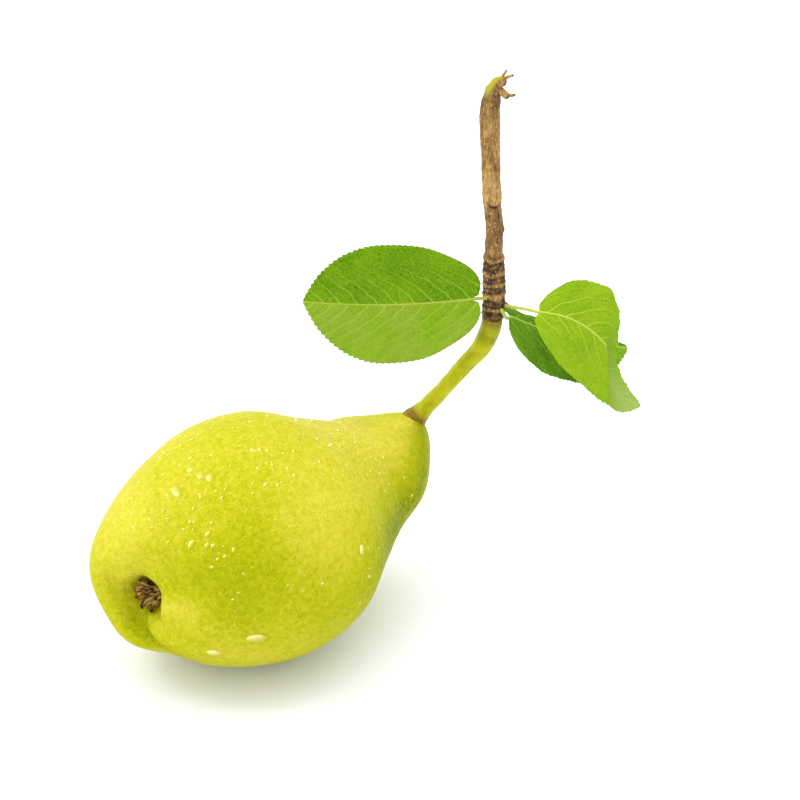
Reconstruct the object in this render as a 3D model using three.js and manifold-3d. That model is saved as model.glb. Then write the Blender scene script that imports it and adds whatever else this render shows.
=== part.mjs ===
// A pear lying on its side, with the stalk, the piece of woody fruit spur and the three leaves that
// it was picked with. Millimetres. +X runs along the fruit from the calyx towards the stalk, +Z is
// up, and the origin is the middle of the small flat spot that the fruit rests on.

import * as THREE from 'three';
import { mergeVertices } from 'three/addons/utils/BufferGeometryUtils.js';
import Module from 'manifold-3d';

const wasm = await Module();
wasm.setup();

const { degToRad, smoothstep } = THREE.MathUtils;
const vec = (x, y, z) => new THREE.Vector3(x, y, z);

// ---- Driving dimensions -----------------------------------------------------------------------

// Pieces are modelled about the belly centre, the point of the fruit's axis where it is thickest.
const BELLY_CENTRE = vec(-2.7, -1.7, 32.4);
const GAP = 0.32; // clearance between pieces that grow from each other

// Fruit of revolution, as [radius, distance from the calyx end]
const FRUIT_LENGTH = 95;
const BELLY_AT = 36;
const FRUIT_PROFILE = [
  [0, 6.6], [2.6, 6.3], [4.3, 4.8], [5.9, 2.5], [8, 0.8], [11, 0], [15.2, 0.5], [19.8, 2.9],
  [25.6, 9.5], [31.3, 21], [34.9, 36], [33, 51], [25.2, 64.5], [18.8, 76], [16, 85.5],
  [9.6, 91.7], [3.9, 94.3], [0, 94.8],
];
const FRUIT_SIDES = 60;
const FRUIT_RINGS = 42;

// What makes it lopsided: the neck bends up, the calyx end sags, the section is an oval, and low
// ribs and a furrow run out of a basin that lies off the axis
const NECK_SHIFT = { y: -4.5, z: 15.5, power: 6 };
const CALYX_SHIFT = { y: -5.5, z: 2.5, reach: 0.3 };
const OVAL = { share: 0.05, angle: degToRad(-12) };
const RIBS = { count: 5, depth: 0.7, angle: degToRad(0), reach: 34 };
const FURROWS = [ // `swing` turns one as it nears the basin; `width` is in mm
  { depth: 2.6, angle: degToRad(250), swing: degToRad(36), width: 3.2, from: 2, reach: 14 },
  { depth: 3, angle: degToRad(270), swing: 0, width: 7.5, from: 14, reach: 24 },
];
const HOLLOWS = [ // round the basin: a broad dip on one side and a lip that stands up on the other
  { depth: 2.2, angle: degToRad(2), width: degToRad(38), reach: 12, spread: 6 },
  { depth: -2.4, angle: degToRad(172), width: degToRad(50), reach: 7.6, spread: 3 },
];
const BASIN_SHIFT = { y: 5.4, z: -2.9, reach: 18 };
const NECK_FILL = { height: 2, angle: degToRad(104), spread: degToRad(50), at: 76, length: 10 };

// Calyx: five dry sepals and a tuft of dry stamens in the basin of the calyx end
const CALYX_HUB = { radius: 2.9, from: 7, to: 5.2 };
const SEPAL = { count: 5, length: 6.4, width: 2.7, thickness: 0.9, spread: 3.2 };
const STAMEN = { count: 7, length: 4.2, radius: 0.42, ring: 1.5 };

// Stalk: centre line from the tip of the neck to the collar of the spur
const STALK_PATH = [
  vec(57.6, -2.7, 12.6), vec(59.8, -6.2, 18.4), vec(62.7, -10.6, 25.6), vec(66.4, -15.2, 34.2),
  vec(69.3, -18.8, 40.8), vec(70.6, -20.6, 47.1), vec(70.8, -21, 50),
];
const STALK_RADIUS = [
  [0, 3.7], [2.2, 3.5], [5, 2.75], [9, 2.3], [18, 2.2], [28, 2.35], [37, 2.75], [46, 2.8],
];

// Spur: old wood with ring scars at its lower end, and a hooked, broken top
const SPUR_PATH = [
  vec(70.9, -21, 50.6), vec(71.1, -21.1, 55.7), vec(71.2, -20.6, 67.2), vec(71.8, -19.8, 78.8),
  vec(71.7, -19, 85.1), vec(72.6, -17.1, 98.8), vec(73.9, -15.3, 109.3), vec(74.6, -15.1, 112.4),
  vec(75.1, -15.4, 115.2), vec(75.9, -16.1, 117.3), vec(76.7, -17.3, 118.4),
];
const SPUR_RADIUS = [
  [0, 2.75], [2, 2.85], [6, 2.9], [12, 2.85], [17.5, 2.7], [19.5, 2.35], [24, 2.3], [33, 2.3], [35.5, 2.45],
  [46, 2.5], [56, 2.7], [61, 2.55], [64.5, 2.1], [67, 1.5], [68.8, 0.75],
];
const RING_SCARS = [1, 3.2, 7.4, 10.6, 14, 18.2];
const RING_SCAR = { height: 0.3, width: 0.75 };
const BUMPS = [
  { at: 35, angle: degToRad(238), height: 0.55, length: 1, spread: degToRad(48) }, // leaf scar
  { at: 26.5, angle: degToRad(292), height: 0.6, length: 1, spread: degToRad(22) }, // dormant bud
  { at: 6, angle: degToRad(228), height: 0.55, length: 1.6, spread: degToRad(30) }, // leaf base
];
const SPUR_TWIGS = [ // centre line and radii of what stands out of the spur
  { path: [vec(75.1, -15.4, 116), vec(76, -17.2, 114.6), vec(76.9, -19.1, 113.3)], radii: [1.1, 0.95] },
  { path: [vec(76.7, -18.7, 113.7), vec(77.2, -19.7, 114), vec(77.7, -20.6, 114.4)], radii: [0.5, 0.35] },
  { path: [vec(76.2, -16.6, 118), vec(76.9, -17, 119.1), vec(77.6, -17.4, 120.3)], radii: [0.45, 0.32] },
  { path: [vec(76.5, -17.2, 117.9), vec(77.2, -18.3, 118.8), vec(77.9, -19.6, 119.6)], radii: [0.5, 0.35] },
  { path: [vec(75.9, -16.6, 116.8), vec(76.4, -17.4, 117.2), vec(76.8, -18.1, 117.1)], radii: [1.35, 0.9] },
  { path: [vec(72.2, -20.6, 54.8), vec(74.4, -21.6, 53), vec(75.8, -22.8, 51.9)], radii: [1.5, 0.6] },
];

// Leaves. The outline is half of a blade, in shares of its length: [along the midrib, out from it]
const BLADE_THICKNESS = 0.6;
const BROAD_OUTLINE = [
  [-0.07, 0.02], [-0.08, 0.1], [-0.03, 0.19], [0.08, 0.27], [0.24, 0.345], [0.42, 0.372], [0.6, 0.365],
  [0.76, 0.3], [0.89, 0.19], [0.965, 0.08], [1, 0.008],
];
const OVATE_OUTLINE = [
  [-0.01, 0.015], [-0.015, 0.09], [0.03, 0.17], [0.13, 0.235], [0.28, 0.27], [0.45, 0.272], [0.62, 0.24],
  [0.78, 0.18], [0.9, 0.105], [0.97, 0.045], [1, 0.008],
];
const ROUND_OUTLINE = [
  [0, 0.012], [-0.01, 0.07], [0.03, 0.16], [0.12, 0.25], [0.28, 0.3], [0.45, 0.3], [0.62, 0.26],
  [0.78, 0.19], [0.9, 0.11], [0.97, 0.045], [1, 0.008],
];
const LEAVES = [
  {
    name: 'leaf_left', color: 0x4f9a12, outline: BROAD_OUTLINE, length: 44, teeth: 26,
    base: vec(63.7, -18.4, 57.6), heading: 134, climb: -2.5, roll: -56,
    width: { left: 0.96, right: 0.96 }, fold: { left: 0.21, right: 0.2 }, bow: 1.1, arch: 1.5,
    wave: 0.4, curls: [],
    petiole: [vec(70.6, -21.6, 57.2), vec(68.2, -21.3, 57.6), vec(65.8, -20, 57.8)],
  },
  {
    name: 'leaf_right_front', color: 0x76b433, outline: ROUND_OUTLINE, length: 48.1, teeth: 24,
    base: vec(76.4, -32.9, 55), heading: -55.3, climb: -8.9, roll: 2.4,
    width: { left: 0.87, right: 1.08 }, fold: { left: 0.39, right: 0 }, bow: 4, arch: -1.9, wave: 0.3,
    curls: [
      { at: 31.5, turn: -7.4, radius: -12.6, angle: 61 },
      { at: 24, turn: 37.8, radius: 2, angle: 44 },
      { at: -0.3, turn: -24.9, radius: 16.2, angle: 53 },
    ],
    petiole: [vec(72.4, -22.3, 54.2), vec(73.6, -24.3, 53.9), vec(74.9, -28.4, 54.6)],
  },
  {
    name: 'leaf_right_back', color: 0x2f7d1c, outline: OVATE_OUTLINE, length: 40.4, teeth: 22,
    base: vec(76.1, -22.4, 49.1), heading: -23.3, climb: -22.9, roll: 21.8,
    width: { left: 1.16, right: 1.18 }, fold: { left: -0.71, right: -0.29 }, bow: -3.1, arch: 3.5,
    wave: 0.3, curls: [],
    petiole: [vec(70.6, -22.6, 54.6), vec(71, -24.3, 53.7), vec(71.9, -24.6, 51.7), vec(73.8, -23.7, 49.9)],
  },
];
const PETIOLE_RADIUS = [[0, 0.6], [0.25, 0.52], [1, 0.34]]; // along petiole and midrib together
const MIDRIB_REACH = 0.86; // share of the blade that has a raised midrib

// ---- Solids -----------------------------------------------------------------------------------

// A closed, welded geometry as a solid, turned right side out if its faces point inwards
function solidFrom(geometry) {
  const make = (indices) => new wasm.Manifold(new wasm.Mesh({
    numProp: 3,
    vertProperties: new Float32Array(geometry.attributes.position.array),
    triVerts: new Uint32Array(indices),
  }));
  const indices = Array.from(geometry.index.array);
  const solid = make(indices);
  return solid.volume() > 0 ? solid : make(indices.reverse());
}

// A geometry with one vertex at each place, and no triangle without area where they met
function welded(geometry) {
  geometry.deleteAttribute('normal');
  geometry.deleteAttribute('uv');
  const merged = mergeVertices(geometry, 1e-5);
  const order = merged.index.array;
  const triangles = [];
  for (let i = 0; i < order.length; i += 3) {
    const [a, b, c] = order.slice(i, i + 3);
    if (a !== b && b !== c && c !== a) triangles.push(a, b, c);
  }
  merged.setIndex(triangles);
  return merged;
}

function geometryFrom(solid) {
  const mesh = solid.getMesh();
  const geometry = new THREE.BufferGeometry();
  geometry.setAttribute('position', new THREE.BufferAttribute(mesh.vertProperties, 3));
  geometry.setIndex(new THREE.BufferAttribute(mesh.triVerts, 1));
  geometry.computeVertexNormals();
  return geometry;
}

// Moves every vertex of a geometry to where place(vertex) says
function mapped(geometry, place) {
  const position = geometry.attributes.position;
  const vertex = vec(0, 0, 0);
  for (let i = 0; i < position.count; i += 1) {
    vertex.fromBufferAttribute(position, i);
    position.setXYZ(i, ...place(vertex).toArray());
  }
  return geometry;
}

// Value at `at` in a list of [position, value] pairs, eased between them
function along(pairs, at) {
  const next = pairs.findIndex(([position]) => position > at);
  if (next === 0) return pairs[0][1];
  if (next < 0) return pairs.at(-1)[1];
  const [[from, low], [to, high]] = [pairs[next - 1], pairs[next]];
  return low + (high - low) * smoothstep(at, from, to);
}

// A solid tube along a curve. radiusAt gets the distance along it in mm and the angle round it.
function tube(curve, radiusAt, sides, steps) {
  const length = curve.getLength();
  const frames = curve.computeFrenetFrames(steps, false);
  return solidFrom(mapped(welded(new THREE.CylinderGeometry(1, 1, 1, sides, steps)), (vertex) => {
    const share = vertex.y + 0.5;
    const step = Math.round(share * steps);
    const angle = Math.atan2(vertex.z, vertex.x);
    const radius = Math.hypot(vertex.x, vertex.z) < 0.5 ? 0 : radiusAt(share * length, angle);
    return curve.getPointAt(share)
      .addScaledVector(frames.normals[step], radius * Math.cos(angle))
      .addScaledVector(frames.binormals[step], radius * Math.sin(angle));
  }));
}

// A bump of height 1 at 0 that fades out over about `width` on either side
const bump = (distance, width) => Math.exp(-((distance / width) ** 2));

// The signed angle from one direction to another, between -PI and PI
const turnBetween = (from, to) => Math.atan2(Math.sin(to - from), Math.cos(to - from));

// ---- Fruit ------------------------------------------------------------------------------------

// Where a point of the fruit of revolution goes on the real, lopsided one
function fruitPoint(radius, distance, angle) {
  const fromBelly = distance - BELLY_AT;
  const neckLength = FRUIT_LENGTH - BELLY_AT;
  const neck = Math.max(fromBelly / neckLength, 0);
  const calyx = Math.max(CALYX_SHIFT.reach - distance / FRUIT_LENGTH, 0) / CALYX_SHIFT.reach;
  const shift = (side) => NECK_SHIFT[side] * neck ** NECK_SHIFT.power + CALYX_SHIFT[side] * calyx ** 2;
  const slope = (side) => NECK_SHIFT[side] * NECK_SHIFT.power * neck ** (NECK_SHIFT.power - 1) / neckLength
    - CALYX_SHIFT[side] * 2 * calyx / (CALYX_SHIFT.reach * FRUIT_LENGTH);

  // Ribs and furrow run out of the basin and fade along the fruit
  const outOfBasin = smoothstep(radius, 2, 12);
  const ribs = RIBS.depth * Math.cos(RIBS.count * (angle - RIBS.angle)) * outOfBasin
    * (1 - smoothstep(distance, 4, RIBS.reach));
  let furrow = 0;
  for (const { depth, angle: around, swing, width, from, reach: fade } of FURROWS) {
    const turned = around + swing * (1 - smoothstep(radius, 4, 26));
    furrow += depth * bump(turnBetween(turned, angle) * Math.max(radius, 5), width)
      * smoothstep(radius, from, from + 8) * (1 - smoothstep(distance, 1, fade));
  }
  // They go in along the axis near the basin and square to it on the side of the fruit
  const inwards = smoothstep(radius, 10, 28);
  let hollow = furrow * (1 - inwards);
  for (const { depth, angle: around, width, reach, spread } of HOLLOWS) {
    hollow += depth * bump(turnBetween(around, angle), width) * bump(radius - reach, spread)
      * (1 - smoothstep(distance, 3, 12));
  }

  const fill = NECK_FILL.height * bump(turnBetween(NECK_FILL.angle, angle), NECK_FILL.spread)
    * bump(distance - NECK_FILL.at, NECK_FILL.length);
  const basin = 1 - smoothstep(
    Math.hypot(radius, 2 * distance),
    0.3 * BASIN_SHIFT.reach,
    BASIN_SHIFT.reach,
  );

  const oval = 1 + OVAL.share * Math.cos(2 * (angle - OVAL.angle));
  const reach = radius > 0 ? (radius + ribs - furrow * inwards + fill) * oval : 0;
  const y = reach * Math.cos(angle);
  const z = reach * Math.sin(angle);
  const [dy, dz] = [slope('y'), slope('z')];
  const steep = Math.hypot(1, dy, dz);
  return vec(
    fromBelly + hollow - (dy / steep) * y - (dz / steep) * z,
    shift('y') + y / Math.hypot(1, dy) + BASIN_SHIFT.y * basin,
    shift('z') + z / Math.hypot(1, dz) + BASIN_SHIFT.z * basin,
  );
}

// The whole fruit. Its outline is moved outwards, square to itself, by `grow`.
function fruitBody(grow = 0) {
  const curve = new THREE.SplineCurve(FRUIT_PROFILE.map((pair) => new THREE.Vector2(...pair)));
  const outline = [];
  for (let i = 0; i <= FRUIT_RINGS; i += 1) {
    const share = i / FRUIT_RINGS;
    const point = curve.getPointAt(share);
    const tangent = curve.getTangentAt(share);
    const onAxis = i === 0 || i === FRUIT_RINGS;
    const radius = onAxis ? 0 : Math.max(point.x + tangent.y * grow, 0.05);
    outline.push(new THREE.Vector2(radius, point.y - tangent.x * grow));
  }
  const turned = welded(new THREE.LatheGeometry(outline, FRUIT_SIDES));
  return solidFrom(mapped(turned, ({ x, y, z }) => fruitPoint(Math.hypot(x, z), y, Math.atan2(z, x))));
}

function fruit() {
  const floor = new THREE.BoxGeometry(4 * FRUIT_LENGTH, 4 * FRUIT_LENGTH, FRUIT_LENGTH);
  floor.translate(0, 0, -BELLY_CENTRE.z - FRUIT_LENGTH / 2);
  return fruitBody().subtract(solidFrom(welded(floor)));
}

// ---- Calyx ------------------------------------------------------------------------------------

// Cuts a solid back to leave the gap to the fruit, which is moved by it in many directions in turn
function clearOfFruit(solid) {
  const moves = new THREE.IcosahedronGeometry(1.3 * GAP, 0).attributes.position;
  const body = fruitBody();
  let rest = solid.subtract(fruitBody(GAP));
  const seen = new Set();
  for (let i = 0; i < moves.count; i += 1) {
    const move = vec(moves.getX(i), moves.getY(i), moves.getZ(i));
    const key = move.toArray().map((value) => value.toFixed(3)).join();
    if (!seen.has(key)) rest = rest.subtract(body.translate(move.toArray()));
    seen.add(key);
  }
  return rest;
}

// A strap-like sepal or a round stamen, from the hub outwards. `spread` is how far its tip leans out.
function calyxRay({ angle, root, length, spread, width, thickness, sides, steps, lift }) {
  const out = (radius, distance) => fruitPoint(radius, distance, angle);
  const curve = new THREE.QuadraticBezierCurve3(
    out(root, CALYX_HUB.from - 0.7),
    out(root + spread * 0.35, CALYX_HUB.from - length * 0.62),
    out(root + spread, CALYX_HUB.from - length * lift),
  );
  const tangent = curve.getTangentAt(0.5);
  const side = vec(0, -Math.sin(angle), Math.cos(angle)).normalize();
  const face = side.clone().cross(tangent).normalize();
  const total = curve.getLength();
  return solidFrom(mapped(welded(new THREE.CylinderGeometry(1, 1, 1, sides, steps)), (vertex) => {
    const share = vertex.y + 0.5;
    const taper = 1 - 0.72 * smoothstep(share, 0.25, 1);
    return curve.getPointAt(share)
      .addScaledVector(side, vertex.x * taper * width / 2)
      .addScaledVector(face, vertex.z * (0.55 + 0.45 * taper) * thickness / 2
        + 0.25 * Math.sin(share * total) * (width > 1 ? vertex.x ** 2 : 0));
  }));
}

function calyx() {
  const hub = welded(new THREE.CylinderGeometry(1, 1, 1, 20, 1));
  let solid = solidFrom(mapped(hub, ({ x, y, z }) => fruitPoint(
    Math.hypot(x, z) * CALYX_HUB.radius,
    y > 0 ? CALYX_HUB.from : CALYX_HUB.to,
    Math.atan2(z, x),
  )));
  for (let i = 0; i < SEPAL.count; i += 1) {
    const uneven = Math.sin(i * 2.4);
    solid = solid.add(calyxRay({
      angle: (i + 0.2 * uneven) * 2 * Math.PI / SEPAL.count + 0.5,
      root: 2, length: SEPAL.length + 0.7 * uneven, spread: SEPAL.spread + 0.6 * uneven, lift: 0.85,
      width: SEPAL.width, thickness: SEPAL.thickness, sides: 8, steps: 6,
    }));
  }
  for (let i = 0; i < STAMEN.count; i += 1) {
    const uneven = Math.sin(i * 1.7);
    solid = solid.add(calyxRay({
      angle: i * 2 * Math.PI / STAMEN.count,
      root: i === 0 ? 0.1 : STAMEN.ring * 0.8, length: STAMEN.length + uneven, spread: 0.7 + 0.5 * uneven,
      lift: 1, width: 2 * STAMEN.radius, thickness: 2 * STAMEN.radius, sides: 5, steps: 3,
    }));
  }
  return clearOfFruit(solid);
}

// ---- Spur and stalk ---------------------------------------------------------------------------

const spurCurve = new THREE.CatmullRomCurve3(SPUR_PATH, false, 'centripetal');

// Angle round the spur as seen from above: 0 is +X and 90 degrees is +Y
function spurRadius(distance, angle, grow) {
  let radius = along(SPUR_RADIUS, distance) + grow;
  for (const at of RING_SCARS) radius += RING_SCAR.height * bump(distance - at, RING_SCAR.width);
  for (const { at, angle: around, height, length, spread } of BUMPS) {
    radius += height * bump(distance - at, length) * bump(turnBetween(around, angle), spread);
  }
  return radius;
}

function spur(grow = 0) {
  const steps = 66;
  const frames = spurCurve.computeFrenetFrames(steps, false);
  const east = Math.atan2(frames.binormals[0].dot(vec(1, 0, 0)), frames.normals[0].dot(vec(1, 0, 0)));
  const north = vec(0, 1, 0).dot(frames.binormals[0].clone().multiplyScalar(Math.cos(east))
    .addScaledVector(frames.normals[0], -Math.sin(east)));
  const fromAbove = (angle) => (angle - east) * Math.sign(north);
  const radiusAt = (distance, angle) => spurRadius(distance, fromAbove(angle), grow);
  let solid = tube(spurCurve, radiusAt, 12, steps);
  for (const { path, radii: [from, to] } of SPUR_TWIGS) {
    const [beforeTip, tip] = path.slice(-2);
    const tipGrowth = tip.clone().sub(beforeTip).setLength(grow);
    const curve = new THREE.CatmullRomCurve3([...path.slice(0, -1), tip.clone().add(tipGrowth)]);
    const total = curve.getLength();
    const taper = (distance) => {
      const share = distance / total;
      const rounding = Math.max(share - 0.75, 0) / 0.29; // of the tip
      return (from + (to - from) * share) * Math.sqrt(1 - rounding ** 2) + grow;
    };
    solid = solid.add(tube(curve, taper, 8, 6));
  }
  return solid;
}

function stalk() {
  const path = new THREE.CatmullRomCurve3(STALK_PATH, false, 'centripetal');
  const body = tube(path, (distance) => along(STALK_RADIUS, distance), 16, 26);
  return body.subtract(fruitBody(GAP)).subtract(spur(GAP));
}

// ---- Leaves -----------------------------------------------------------------------------------

// Past a slanting line, a point of the blade rolls back round a cylinder, then runs on straight.
// With a radius below 0 it rolls up instead.
function curled(point, { at, turn, radius, angle }) {
  const heading = vec(Math.cos(degToRad(turn)), Math.sin(degToRad(turn)), 0);
  const past = point.dot(heading) - at * heading.x;
  if (past <= 0) return point;
  const size = Math.abs(radius);
  const bend = Math.sign(radius) * Math.min(past / size, degToRad(angle));
  const beyond = Math.max(past - size * degToRad(angle), 0);
  const reach = (radius + point.z) * Math.sin(bend) + beyond * Math.cos(bend);
  const height = (radius + point.z) * Math.cos(bend) - radius - beyond * Math.sin(bend);
  return point.addScaledVector(heading, reach - past).setZ(height);
}

// Where a point of a flat blade, x along the midrib and y to its left, goes as it folds and curls
function bladePoint(leaf, x, y, lift) {
  const share = x / leaf.length;
  const side = y > 0 ? 'left' : 'right';
  const wave = leaf.wave * (y / 12) ** 2 * Math.sin(2 * Math.PI * share * 2.3 + (y > 0 ? 0 : 2));
  const rise = leaf.fold[side] * (Math.hypot(y, 1.2) - 1.2) - leaf.arch * share ** 2 + wave;
  const bowed = y + leaf.bow * 4 * share * (1 - share);
  return leaf.curls.reduce(curled, vec(x, bowed, rise + lift));
}

// A blade with a toothed edge: a sheet over the outline, doubled and closed round its rim
function blade(leaf) {
  const outline = new THREE.SplineCurve(leaf.outline.map(([x, y]) => new THREE.Vector2(x, y)));
  const rows = 2 * leaf.teeth;
  const columns = 6;
  const sheet = new THREE.PlaneGeometry(2, 1, columns, rows);
  const face = (lift) => mapped(sheet.clone(), (vertex) => {
    const share = THREE.MathUtils.clamp(vertex.y + 0.5, 0, 1);
    const edge = outline.getPointAt(share).multiplyScalar(leaf.length);
    const side = Math.sign(vertex.x);
    const atRim = Math.abs(vertex.x) > 0.99;
    const tooth = Math.round(share * rows) % 2 === 1 && atRim ? 1 : 0;
    const rib = leaf.length * (0.995 * Math.max(share * 1.12 - 0.12, 0) ** 0.9 + 0.004 * share);
    const reach = Math.abs(vertex.x);
    // Teeth lean towards the tip
    const x = rib + (edge.x - rib) * reach + (tooth - 0.5 * (reach > 0.99)) * 0.5;
    const width = leaf.width[side > 0 ? 'left' : 'right'];
    const out = (tooth - 0.5 * (reach > 0.99)) * 0.5 * Math.min(1, edge.y / 2);
    const y = side * (width * edge.y * reach + out);
    return bladePoint(leaf, x, y, lift);
  });
  const top = face(BLADE_THICKNESS / 2);
  const bottom = face(-BLADE_THICKNESS / 2);

  const count = top.attributes.position.count;
  const positions = [...top.attributes.position.array, ...bottom.attributes.position.array];
  const indices = [...top.index.array];
  for (let i = 0; i < top.index.count; i += 3) {
    const [a, b, c] = top.index.array.slice(i, i + 3);
    indices.push(a + count, c + count, b + count);
  }
  const rim = [];
  for (let i = 0; i < columns; i += 1) rim.push(i);
  for (let i = 0; i < rows; i += 1) rim.push(i * (columns + 1) + columns);
  for (let i = columns; i > 0; i -= 1) rim.push(rows * (columns + 1) + i);
  for (let i = rows; i > 0; i -= 1) rim.push(i * (columns + 1));
  rim.forEach((from, i) => {
    const to = rim[(i + 1) % rim.length];
    indices.push(from, to, to + count, from, to + count, from + count);
  });
  const closed = new THREE.BufferGeometry();
  closed.setAttribute('position', new THREE.Float32BufferAttribute(positions, 3));
  closed.setIndex(indices);
  return closed;
}

function leafSolid(leaf, spurBody) {
  const turn = new THREE.Euler(degToRad(leaf.roll), degToRad(-leaf.climb), degToRad(leaf.heading), 'ZYX');
  const place = new THREE.Matrix4().makeRotationFromEuler(turn).setPosition(leaf.base);
  const midrib = [];
  for (let i = 0; i <= 12; i += 1) {
    const share = THREE.MathUtils.lerp(0.02, MIDRIB_REACH, i / 12);
    midrib.push(bladePoint(leaf, share * leaf.length, 0, -0.25).applyMatrix4(place));
  }
  const stem = new THREE.CatmullRomCurve3([...leaf.petiole, ...midrib], false, 'centripetal');
  const length = stem.getLength();
  const rib = tube(stem, (distance) => along(PETIOLE_RADIUS, distance / length), 8, 30);
  return solidFrom(blade(leaf).applyMatrix4(place)).add(rib).subtract(spurBody);
}

// ---- Assembly ---------------------------------------------------------------------------------

function mesh(name, solid, color, roughness) {
  const piece = new THREE.Mesh(
    geometryFrom(solid),
    new THREE.MeshStandardMaterial({ color, roughness, metalness: 0 }),
  );
  piece.name = name;
  return piece;
}

const pear = new THREE.Group();
pear.position.copy(BELLY_CENTRE);
pear.add(mesh('fruit', fruit(), 0xc9cc3a, 0.45));
pear.add(mesh('calyx', calyx(), 0x5a3a22, 0.85));
pear.add(mesh('stalk', stalk(), 0xa9a72e, 0.55));
pear.add(mesh('spur', spur(), 0x8a6540, 0.8));
const grownSpur = spur(GAP);
for (const leaf of LEAVES) pear.add(mesh(leaf.name, leafSolid(leaf, grownSpur), leaf.color, 0.5));

export default pear;
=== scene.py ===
"""A pear lying on its side, with its stalk, a piece of the woody spur it grew on and three leaves.

Lengths are millimetres, measured from the belly centre of the fruit, and become metres in the
object's frame only where a vertex is placed.
"""

import logging
import math
import random
from dataclasses import dataclass
from enum import Enum
from typing import Any, Callable, Mapping, Sequence

import bmesh
import bpy
from mathutils import Matrix, Vector, noise


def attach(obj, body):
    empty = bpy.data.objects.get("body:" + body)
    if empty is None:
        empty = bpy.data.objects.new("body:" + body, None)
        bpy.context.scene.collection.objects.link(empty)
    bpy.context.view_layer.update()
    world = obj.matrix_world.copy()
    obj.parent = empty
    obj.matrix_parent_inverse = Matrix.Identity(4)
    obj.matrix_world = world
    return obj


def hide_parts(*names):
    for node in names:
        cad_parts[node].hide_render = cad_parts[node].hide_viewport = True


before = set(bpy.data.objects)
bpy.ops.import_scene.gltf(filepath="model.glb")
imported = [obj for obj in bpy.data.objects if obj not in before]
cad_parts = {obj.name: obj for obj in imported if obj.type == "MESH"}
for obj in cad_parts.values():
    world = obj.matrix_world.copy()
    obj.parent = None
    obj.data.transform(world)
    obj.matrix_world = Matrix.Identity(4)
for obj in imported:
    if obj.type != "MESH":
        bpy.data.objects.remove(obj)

log = logging.getLogger("pear")

MM = 0.001
# Vertices nearer than this, in metres, become one
WELD = 0.5e-6
BELLY_CENTRE = Vector((-2.7, -1.7, 32.4))
Pair = tuple[float, float]
Pairs = Sequence[Pair]
Place = tuple[float, float, float]
Marks = Mapping[str, float]
Spot = tuple[Vector, Marks]
Source = bpy.types.Node | bpy.types.NodeSocket
Inputs = Mapping[str | int, Any]


# ---- Numbers and curves -------------------------------------------------------------------------


def in_frame(point: Vector) -> Vector:
    """A point measured from the belly centre in mm, as metres in the object's frame."""
    return (point + BELLY_CENTRE) * MM


def eased(value: float, low: float, high: float) -> float:
    """Rises from 0 at low to 1 at high, flat at both ends."""
    share = min(max((value - low) / (high - low), 0.0), 1.0)
    return share * share * (3 - 2 * share)


def swell(distance: float, width: float) -> float:
    """1 at no distance, fading over about width on either side."""
    return math.exp(-((distance / width) ** 2))


def turn_between(start: float, end: float) -> float:
    """The signed angle from start to end, between -pi and pi."""
    return math.atan2(math.sin(end - start), math.cos(end - start))


def along(pairs: Pairs, at: float) -> float:
    """The value at a position, eased between the given ones.

    Args:
        pairs: Positions in order, each with its value.
        at: The position.

    Returns:
        The value there.
    """
    if at <= pairs[0][0]:
        return pairs[0][1]
    for (start, low), (end, high) in zip(pairs, pairs[1:]):
        if at < end:
            return low + (high - low) * eased(at, start, end)
    return pairs[-1][1]


def rough(point: Vector, size: float, seed: float = 0.0) -> float:
    """Smooth noise between about -1 and 1, with lumps of that size in mm."""
    return noise.noise(point / size + Vector((seed, 2.3 * seed, -seed)))


class Ends(Enum):
    """How a smooth curve leaves its first point and reaches its last."""

    CLAMPED = "clamped"
    STRAIGHT = "straight"


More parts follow.
